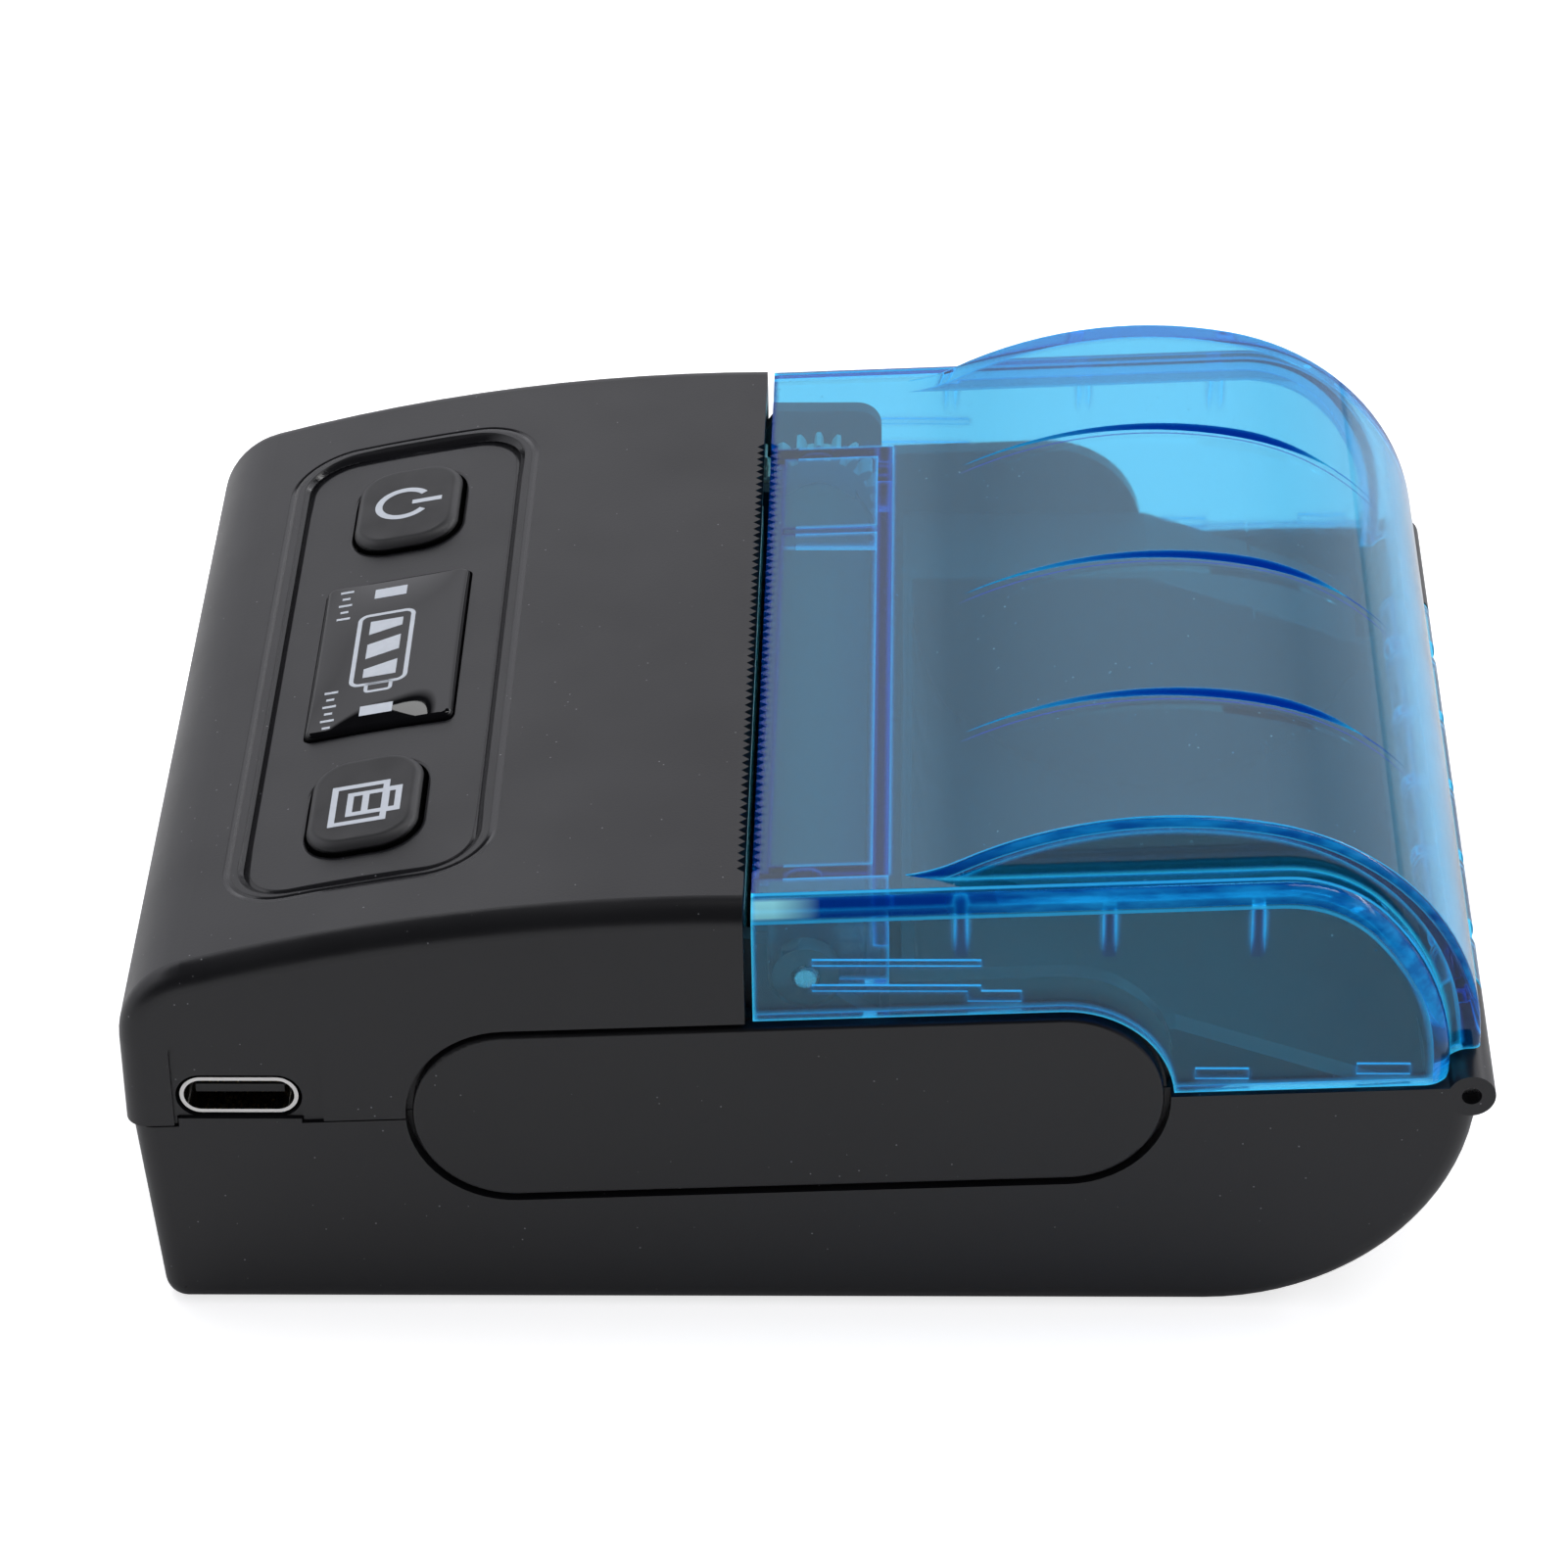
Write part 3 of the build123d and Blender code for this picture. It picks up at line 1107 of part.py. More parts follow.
# Gearbox cover: an upright guard outside the gears, on three posts from the side plate
GUARD_FRONT_Y = MOTOR_Y - GEAR_MODULE * PINION_TEETH / 2 - GUARD_EDGE
GUARD_REAR_Y = PLATEN_Y + GEAR_MODULE * PLATEN_TEETH / 2 + GUARD_REAR_EDGE
GUARD_LOW_Z = MOTOR_Z - GEAR_MODULE * PINION_TEETH / 2 - GUARD_EDGE
GUARD_STEP_Z = TOP_Z - TOP_WALL - GUARD_CEILING_GAP
guard_posts = [
    (GUARD_FRONT_Y + GUARD_POST_INSET, GUARD_LOW_Z + GUARD_POST_RISE),
    (MOTOR_Y + GUARD_FOOT_POST_Y, GUARD_LOW_Z + GUARD_POST_INSET),
    (GUARD_REAR_Y - GUARD_POST_INSET, PLATEN_Z - GUARD_REAR_POST_DROP),
]
guard_outline = [
    (GUARD_REAR_Y, PLATEN_Z - GUARD_TAIL_DROP),
    (GUARD_REAR_Y, GEARBOX_TOP_Z),
    (LID_FRONT_Y, GEARBOX_TOP_Z),
    (TEAR_Y - RUN_GAP, GUARD_STEP_Z),
    (IDLER_Y - GUARD_BROW_Y, GUARD_STEP_Z),
    (GUARD_FRONT_Y, MOTOR_Z + GUARD_BROW_RISE),
    (GUARD_FRONT_Y, GUARD_LOW_Z),
    (MOTOR_Y + GUARD_FOOT_Y, GUARD_LOW_Z),
]
with BuildPart() as gearbox_cover:
    add(slab_yz(guard_outline, GEARBOX_X, -GEARBOX_THICK))
    top_corner = edges().filter_by(Axis.X).group_by(Axis.Y)[-1].sort_by(Axis.Z)[-1]
    fillet(top_corner, GUARD_CORNER)
    with BuildSketch(Plane.YZ.offset(GEARBOX_X)):
        with Locations(*guard_posts):
            Circle(GUARD_POST_RADIUS)
    extrude(amount=LEFT_PLATE_X - PLATE_THICK - GEARBOX_X)
    add(
        rod_x(IDLER_Y, IDLER_Z, MOTOR_SHAFT_RADIUS, GEARBOX_X, GEARBOX_X - GEARBOX_THICK),
        mode=Mode.SUBTRACT,
    )
gearbox_cover.part.label = "gearbox_cover"
export_step(gearbox_cover.part, "parts/gearbox_cover.step")


# Mechanism frame: two side plates tied by a floor, a paper guide under the platen and a spring bridge
LIFT_LEAN = (PLATEN_Z - HINGE_Z) / (HINGE_Y - PLATEN_Y)
left_plate = [
    (MOTOR_Y - MOTOR_RADIUS - PLATE_EDGE, FRAME_FLOOR_Z),
    (FRAME_REAR_Y, FRAME_FLOOR_Z),
    (FRAME_REAR_Y, GUIDE_RIM_Z),
    (FRAME_REAR_Y - PLATE_CORNER, PLATEN_Z),
    (BUSH_RADIUS, FRAME_TOP_Z),
    (BRIDGE_Y - BRIDGE_THICK, FRAME_TOP_Z),
    (MOTOR_Y - PLATE_SLOPE_Y, MOTOR_Z + MOTOR_RADIUS - PLATE_SLOPE_DROP),
    (MOTOR_Y - MOTOR_RADIUS - PLATE_EDGE, MOTOR_Z),
]
right_plate = [
    (FRAME_FRONT_Y, FRAME_FLOOR_Z),
    (FRAME_REAR_Y, FRAME_FLOOR_Z),
    (FRAME_REAR_Y, GUIDE_RIM_Z - PLATE_CORNER),
    (FRAME_REAR_Y - PLATE_STEP, PLATEN_Z - PLATE_CORNER),
    (PLATEN_Y, FRAME_TOP_Z),
    (BRIDGE_Y - BRIDGE_THICK, FRAME_TOP_Z),
    (BRIDGE_Y - BRIDGE_THICK, BRIDGE_Z - BRIDGE_HEIGHT / 2),
]
with BuildPart() as mechanism_frame:
    add(slab_yz(left_plate, LEFT_PLATE_X - PLATE_THICK, PLATE_THICK))
    add(slab_yz(right_plate, RIGHT_PLATE_X, PLATE_THICK))
    add(
        block(
            LEFT_PLATE_X, RIGHT_PLATE_X, FRAME_FRONT_Y, FRAME_REAR_Y,
            FRAME_FLOOR_Z, FRAME_FLOOR_Z + FRAME_FLOOR_THICK,
        )
    )
    guide_front_y = HEAD_Y + HEAD_THICK
    add(
        block(
            LEFT_PLATE_X, RIGHT_PLATE_X, guide_front_y, FRAME_REAR_Y,
            GUIDE_FLOOR_Z, GUIDE_RIM_Z,
        )
    )
    add(
        block(
            LEFT_PLATE_X, RIGHT_PLATE_X, BRIDGE_Y - BRIDGE_THICK, BRIDGE_Y,
            BRIDGE_Z - BRIDGE_HEIGHT / 2, BRIDGE_Z + BRIDGE_HEIGHT / 2,
        )
    )
    # Trough under the platen, open to the rear where the paper comes in
    add(
        rod_x(PLATEN_Y, PLATEN_Z, GUIDE_RADIUS, LEFT_PLATE_X, RIGHT_PLATE_X),
        mode=Mode.SUBTRACT,
    )
    # Cradles for the platen bushes, open along the path that they take when the cover lifts
    for x in (LEFT_PLATE_X - PLATE_THICK, RIGHT_PLATE_X):
        with BuildSketch(Plane.YZ.offset(x)):
            with Locations((PLATEN_Y, PLATEN_Z)):
                Circle(BUSH_RADIUS + RUN_GAP)
        extrude(amount=PLATE_THICK, mode=Mode.SUBTRACT)
        rise = 2 * BUSH_RADIUS + RUN_GAP
        half = BUSH_RADIUS + RUN_GAP
        mouth = [
            (PLATEN_Y - half, PLATEN_Z),
            (PLATEN_Y + half, PLATEN_Z),
            (PLATEN_Y + half + LIFT_LEAN * rise, PLATEN_Z + rise),
            (PLATEN_Y - half, PLATEN_Z + rise),
        ]
        add(slab_yz(mouth, x, PLATE_THICK), mode=Mode.SUBTRACT)
        # Pivot holes for the head
        add(rod_x(HEAD_PIVOT_Y, HEAD_PIVOT_Z, HEAD_PIVOT_RADIUS, x, x + PLATE_THICK), mode=Mode.SUBTRACT)
    plate_out = LEFT_PLATE_X - PLATE_THICK
    shaft_hole = MOTOR_SHAFT_RADIUS + RUN_GAP
    add(rod_x(MOTOR_Y, MOTOR_Z, shaft_hole, plate_out, LEFT_PLATE_X), mode=Mode.SUBTRACT)
    add(rod_x(IDLER_Y, IDLER_Z, MOTOR_SHAFT_RADIUS, plate_out, LEFT_PLATE_X), mode=Mode.SUBTRACT)
    # Screw holes in the floor and the paper sensor's sight hole in the guide
    with BuildSketch(Plane.XY.offset(FRAME_FLOOR_Z)):
        with Locations(*FRAME_SCREW_PLACES):
            Circle(SCREW_RADIUS)
    extrude(amount=FRAME_FLOOR_THICK, mode=Mode.SUBTRACT)
    with BuildSketch(Plane.XY.offset(GUIDE_FLOOR_Z)):
        with Locations((PATH_X, PLATEN_Y + SENSOR_SHIFT)):
            Circle(SENSOR_HOLE_RADIUS)
    extrude(amount=GUIDE_RIM_Z - GUIDE_FLOOR_Z, mode=Mode.SUBTRACT)
mechanism_frame.part.label = "mechanism_frame"
export_step(mechanism_frame.part, "parts/mechanism_frame.step")

mechanism_screws = screw(
    FRAME_SCREW_LENGTH, Plane.XY.offset(FRAME_FLOOR_Z + FRAME_FLOOR_THICK), FRAME_SCREW_PLACES
)
mechanism_screws.label = "mechanism_screws"
export_step(mechanism_screws, "parts/mechanism_screws.step")

with BuildPart() as paper_sensor:
    add(
        block(
            PATH_X - SENSOR_WIDTH / 2, PATH_X + SENSOR_WIDTH / 2,
            PLATEN_Y + SENSOR_SHIFT - SENSOR_LENGTH / 2, PLATEN_Y + SENSOR_SHIFT + SENSOR_LENGTH / 2,
            GUIDE_FLOOR_Z - SENSOR_HEIGHT, GUIDE_FLOOR_Z,
        )
    )
paper_sensor.part.label = "paper_sensor"
export_step(paper_sensor.part, "parts/paper_sensor.step")


# Thermal head, its heat sink with pivot pins, and the springs that press it to the platen
with BuildPart() as thermal_head:
    add(
        block(
            PATH_X - ROLLER_HALF, PATH_X + ROLLER_HALF, SINK_Y, HEAD_Y,
            HEAD_BOTTOM_Z, HEAD_TOP_Z,
        )
    )
thermal_head.part.label = "thermal_head"
export_step(thermal_head.part, "parts/thermal_head.step")

with BuildPart() as head_heat_sink:
    add(
        block(
            PATH_X - ROLLER_HALF, PATH_X + ROLLER_HALF, SINK_FRONT_Y, SINK_Y,
            HEAD_BOTTOM_Z - SINK_DROP, HEAD_TOP_Z,
        )
    )
    add(
        rod_x(
            HEAD_PIVOT_Y, HEAD_PIVOT_Z, HEAD_PIVOT_RADIUS,
            LEFT_PLATE_X - PLATE_THICK, RIGHT_PLATE_X + PLATE_THICK,
        )
    )
head_heat_sink.part.label = "head_heat_sink"
export_step(head_heat_sink.part, "parts/head_heat_sink.step")


def coil_wire(x, y, z, pitch):
    """Path of a spring about the Y axis through (x, z), starting at y: half turns of two arcs."""
    def point(turn):
        angle = 2 * pi * turn
        return Vector(x + SPRING_RADIUS * cos(angle), y + pitch * turn, z + SPRING_RADIUS * sin(angle))

    def heading(turn):
        angle = 2 * pi * turn
        return Vector(
            -2 * pi * SPRING_RADIUS * sin(angle), pitch, 2 * pi * SPRING_RADIUS * cos(angle)
        ).normalized()

    arcs = []
    for quarter in range(4 * SPRING_TURNS):
        start, end = point(quarter / 4), point((quarter + 1) / 4)
        leave, arrive = heading(quarter / 4), heading((quarter + 1) / 4)
        # Equal tangent lengths give two arcs that meet smoothly
        chord = end - start
        total = leave + arrive
        along = chord.dot(total)
        spread = 2 * (1 - leave.dot(arrive))
        reach = (sqrt(along**2 + spread * chord.dot(chord)) - along) / spread
        middle = (start + leave * reach + end - arrive * reach) * 0.5
        arcs.append(Edge.make_tangent_arc(start, leave, middle))
        arcs.append(Edge.make_tangent_arc(middle, arcs[-1] % 1, end))
    return Wire(arcs)


def spring_gap(path):
    """Least gap between a spring's turns, measured on points along its path."""
    points = [path @ (i / SPRING_SAMPLES) for i in range(SPRING_SAMPLES + 1)]
    apart = SPRING_SAMPLES // (2 * SPRING_TURNS)
    pairs = [(i, j) for i in range(len(points)) for j in range(i + apart, len(points))]
    least = min((points[i] - points[j]).length for i, j in pairs)
    return least - 2 * SPRING_WIRE_RADIUS


spring_run = SPRING_LENGTH - 2 * (SPRING_WIRE_RADIUS + SPRING_SEAT_GAP)
for name, side in (("head_spring_left", -1), ("head_spring_right", 1)):
    centre_x = PATH_X + side * SPRING_SPREAD
    first_y = BRIDGE_Y + SPRING_WIRE_RADIUS + SPRING_SEAT_GAP
    path = coil_wire(centre_x, first_y, BRIDGE_Z, spring_run / SPRING_TURNS)
    print(name, "least gap between turns", round(spring_gap(path), 3))
    with BuildPart() as head_spring:
        with BuildSketch(Plane(origin=path @ 0, z_dir=path % 0)):
            Circle(SPRING_WIRE_RADIUS)
        sweep(path=path)
    head_spring.part.label = name
    export_step(head_spring.part, f"parts/{name}.step")


# Platen: rubber sleeve on a steel shaft that runs in two bushes
with BuildPart() as platen_roller:
    roller_left = PATH_X - ROLLER_HALF
    roller_right = PATH_X + ROLLER_HALF
    add(rod_x(PLATEN_Y, PLATEN_Z, PLATEN_RADIUS, roller_left, roller_right))
    chamfer(edges().filter_by(GeomType.CIRCLE), ROLLER_CHAMFER)
    add(
        rod_x(PLATEN_Y, PLATEN_Z, PLATEN_SHAFT_RADIUS, roller_left, roller_right),
        mode=Mode.SUBTRACT,
    )
platen_roller.part.label = "platen_roller"
export_step(platen_roller.part, "parts/platen_roller.step")

with BuildPart() as platen_shaft:
    add(
        rod_x(
            PLATEN_Y, PLATEN_Z, PLATEN_SHAFT_RADIUS,
            GEAR_INNER_X - GEAR_WIDTH, SHAFT_RIGHT_X,
        )
    )
    chamfer(edges().filter_by(GeomType.CIRCLE), SHAFT_CHAMFER)
platen_shaft.part.label = "platen_shaft"
export_step(platen_shaft.part, "parts/platen_shaft.step")

for name, x_from, inner in (
    ("platen_bush_left", LEFT_PLATE_X - PLATE_THICK, 1),
    ("platen_bush_right", RIGHT_PLATE_X, -1),
):
    with BuildPart() as bush:
        add(rod_x(PLATEN_Y, PLATEN_Z, BUSH_RADIUS, x_from, x_from + PLATE_THICK))
        edge = x_from if inner < 0 else x_from + PLATE_THICK
        add(rod_x(PLATEN_Y, PLATEN_Z, BUSH_COLLAR_RADIUS, edge, edge + inner * RUN_GAP))
        hole = PLATEN_SHAFT_RADIUS + SHAFT_PLAY
        add(
            rod_x(PLATEN_Y, PLATEN_Z, hole, x_from - RUN_GAP, x_from + PLATE_THICK + RUN_GAP),
            mode=Mode.SUBTRACT,
        )
    bush.part.label = name
    export_step(bush.part, f"parts/{name}.step")


# Paper bin: a round-bottomed tub for the roll, with a deck over the space on its left
bin_side = [
    (0, 0),
    (0, BIN_FRONT_Z),
    (ROLL_Y, BIN_FRONT_Z),
    (BIN_DECK_REAR_Y, BIN_REAR_Z),
    (2 * REAR_REACH, BIN_REAR_Z),
    (2 * REAR_REACH, 0),
]
with BuildPart() as paper_bin:
    add(rod_x(ROLL_Y, ROLL_Z, BIN_RADIUS, BIN_LEFT - BIN_SIDE_WALL, BIN_EDGE))
    add(
        rod_x(ROLL_Y, ROLL_Z, BIN_RADIUS - BIN_WALL, BIN_LEFT, BIN_RIGHT),
        mode=Mode.SUBTRACT,
    )
    add(slab_yz(bin_side, -WIDTH, 2 * WIDTH), mode=Mode.INTERSECT)
    deck = [
        (BIN_FRONT_Y, BIN_FRONT_Z - BIN_DECK_THICK),
        (BIN_FRONT_Y, BIN_FRONT_Z),
        (ROLL_Y, BIN_FRONT_Z),
        (BIN_DECK_REAR_Y, BIN_REAR_Z),
        (BIN_DECK_REAR_Y, BIN_REAR_Z - BIN_DECK_THICK),
        (ROLL_Y, BIN_FRONT_Z - BIN_DECK_THICK),
    ]
    add(slab_yz(deck, -BIN_EDGE, BIN_LEFT - BIN_SIDE_WALL / 2 + BIN_EDGE))
paper_bin.part.label = "paper_bin"
export_step(paper_bin.part, "parts/paper_bin.step")


# Ribbons: from the head to the main board, and from the button board to the main board
def ribbon(route, x, width):
    """Flat flexible cable of the given width along a route of (y, z) points."""
    with BuildPart() as strip:
        with BuildSketch(Plane.YZ.offset(x - width / 2)):
            with BuildLine() as run:
                FilletPolyline(*route, radius=RIBBON_BEND)
            trace(run.line, RIBBON_THICK)
        extrude(amount=width)
    return strip.part


half_ribbon = RIBBON_THICK / 2
head_ribbon = ribbon(
    [
        (SINK_FRONT_Y - half_ribbon, HEAD_PIVOT_Z + RIBBON_RISE),
        (SINK_FRONT_Y - half_ribbon, HEAD_BOTTOM_Z - SINK_DROP + RIBBON_TUCK),
        (MAIN_BOARD_REAR_Y + RIBBON_SAG, MAIN_BOARD_TOP + half_ribbon + RIBBON_LIFT),
        (MAIN_BOARD_REAR_Y - RIBBON_LIFT, MAIN_BOARD_TOP + half_ribbon),
        (MAIN_BOARD_REAR_Y - RIBBON_END, MAIN_BOARD_TOP + half_ribbon),
    ],
    PATH_X, HEAD_RIBBON_WIDTH,
)
head_ribbon.label = "head_ribbon"
export_step(head_ribbon, "parts/head_ribbon.step")


def panel_side_point(along, up):
    """Point in the side view at a place along the control panel and a height over it."""
    place = PANEL_PLANE.from_local_coords((0, along, up))
    return (place.Y, place.Z)


under_board = BUTTON_BOARD_TOP - BOARD_THICK - half_ribbon
ribbon_turn = panel_side_point(BUTTON_BOARD_LENGTH / 2 + 2 * RIBBON_BEND, under_board)
panel_ribbon = ribbon(
    [
        panel_side_point(BUTTON_BOARD_LENGTH / 6, under_board),
        ribbon_turn,
        (ribbon_turn[0], MAIN_BOARD_TOP + RIBBON_BEND),
        (MAIN_BOARD_REAR_Y - RIBBON_LIFT, MAIN_BOARD_TOP + half_ribbon),
        (MAIN_BOARD_REAR_Y - RIBBON_END, MAIN_BOARD_TOP + half_ribbon),
    ],
    PANEL_RIBBON_X, PANEL_RIBBON_WIDTH,
)
panel_ribbon.label = "panel_ribbon"
export_step(panel_ribbon, "parts/panel_ribbon.step")


# Hinge pin, through both knuckles and the cover's barrel
pin_half = HALF_WIDTH - HINGE_PIN_RECESS
hinge_pin = rod_x(HINGE_Y, HINGE_Z, HINGE_PIN_RADIUS, -pin_half, pin_half)
hinge_pin.label = "hinge_pin"
export_step(hinge_pin, "parts/hinge_pin.step")


# Paper cover: a low side view over the whole width and a higher bulge over the roll
def lid_side(inset):
    """Side view of the cover's low sides, moved in by inset and open to the front if it is moved."""
    tilt = radians(SLOPE_ANGLE)
    front_y = LID_FRONT_Y if inset == 0 else LID_FRONT_Y - LID_WALL
    end = (SHELF_END_Y + inset * sin(tilt), shelf_z(SHELF_END_Y) - inset * cos(tilt))
    with BuildSketch(Plane.YZ) as side:
        with BuildLine():
            shelf = Line((front_y, shelf_z(front_y) - inset / cos(tilt)), end)
            crown = JernArc(shelf @ 1, shelf % 1, SHELF_RADIUS - inset, -SHELF_TURN)
            rest = SHELF_TURN - 90 - SLOPE_ANGLE
            back = JernArc(crown @ 1, crown % 1, LID_BACK_RADIUS - inset, rest)
            Polyline(back @ 1, ((back @ 1).X, LID_BLANK_Z), (front_y, LID_BLANK_Z), shelf @ 0)
        make_face()
    return side.sketch


def bulge_arcs(inset):
    """The three arcs of the bulge's side view, moved in by inset: hollow front, crown and rear."""
    tilt = radians(SLOPE_ANGLE)
    start_z = shelf_z(BULGE_FRONT_Y) - BULGE_SINK
    start = (BULGE_FRONT_Y + inset * sin(tilt), start_z - inset * cos(tilt))
    blend = JernArc(start, (cos(tilt), sin(tilt)), BULGE_BLEND_RADIUS + inset, BULGE_BLEND_TURN)
    crown = JernArc(blend @ 1, blend % 1, BULGE_RADIUS - inset, -BULGE_TURN)
    rest = BULGE_TURN - BULGE_BLEND_TURN - SLOPE_ANGLE - 90
    back = JernArc(crown @ 1, crown % 1, BULGE_REAR_RADIUS - inset, rest)
    return blend, crown, back


def bulge_side(inset):
    """Side view of the cover's bulge, moved in by inset and closed at the blank's bottom."""
    blend, crown, back = bulge_arcs(inset)
    with BuildSketch(Plane.YZ) as side:
        with BuildLine():
            add([blend, crown, back])
            Polyline(
                back @ 1,
                ((back @ 1).X, LID_BLANK_Z),
                ((blend @ 0).X, LID_BLANK_Z),
                blend @ 0,
            )
        make_face()
    return side.sketch


with BuildPart() as bulge_outside:
    extrude(bulge_side(0), amount=BULGE_WIDTH / 2, both=True)
    side_edges = faces().filter_by(Axis.X).edges()
    bulge_front_y = side_edges.vertices().sort_by(Axis.Y)[0].Y
    rounded = side_edges.filter_by(
        lambda e: e.center().Z > LID_BLANK_Z + CUT_MARGIN
        and e.center().Y > bulge_front_y + CUT_MARGIN
    )
    fillet(rounded, BULGE_EDGE_RADIUS)

# Three V-shaped grooves over the bulge, deepest near the middle and running out at both ends
blend, crown, back = bulge_arcs(0)
groove_low = crown @ GROOVE_MIDDLE - Vector(0, GROOVE_DEPTH)
groove_arc = ThreePointArc(blend @ GROOVE_START, groove_low, back @ GROOVE_END)
groove_y = groove_arc.arc_center.X
groove_z = groove_arc.arc_center.Y
groove_radius = groove_arc.radius
with BuildPart() as cover_grooves:
    with BuildSketch(Plane.XZ.offset(-groove_y)):
        for i in (-1, 0, 1):
            with BuildLine():
                Polyline(
                    (i * GROOVE_PITCH, groove_z + groove_radius),
                    (i * GROOVE_PITCH + GROOVE_HALF, groove_z + groove_radius + GROOVE_REACH),
                    (i * GROOVE_PITCH - GROOVE_HALF, groove_z + groove_radius + GROOVE_REACH),
                    close=True,
                )
            make_face()
    revolve(axis=Axis((0, groove_y, groove_z), (1, 0, 0)))
    add(
        block(
            -HALF_WIDTH, HALF_WIDTH, (blend @ GROOVE_START).X, (back @ GROOVE_END).X,
            BLANK_TOP - GROOVE_REACH, BLANK_TOP * 2,
        ),
        mode=Mode.INTERSECT,
    )

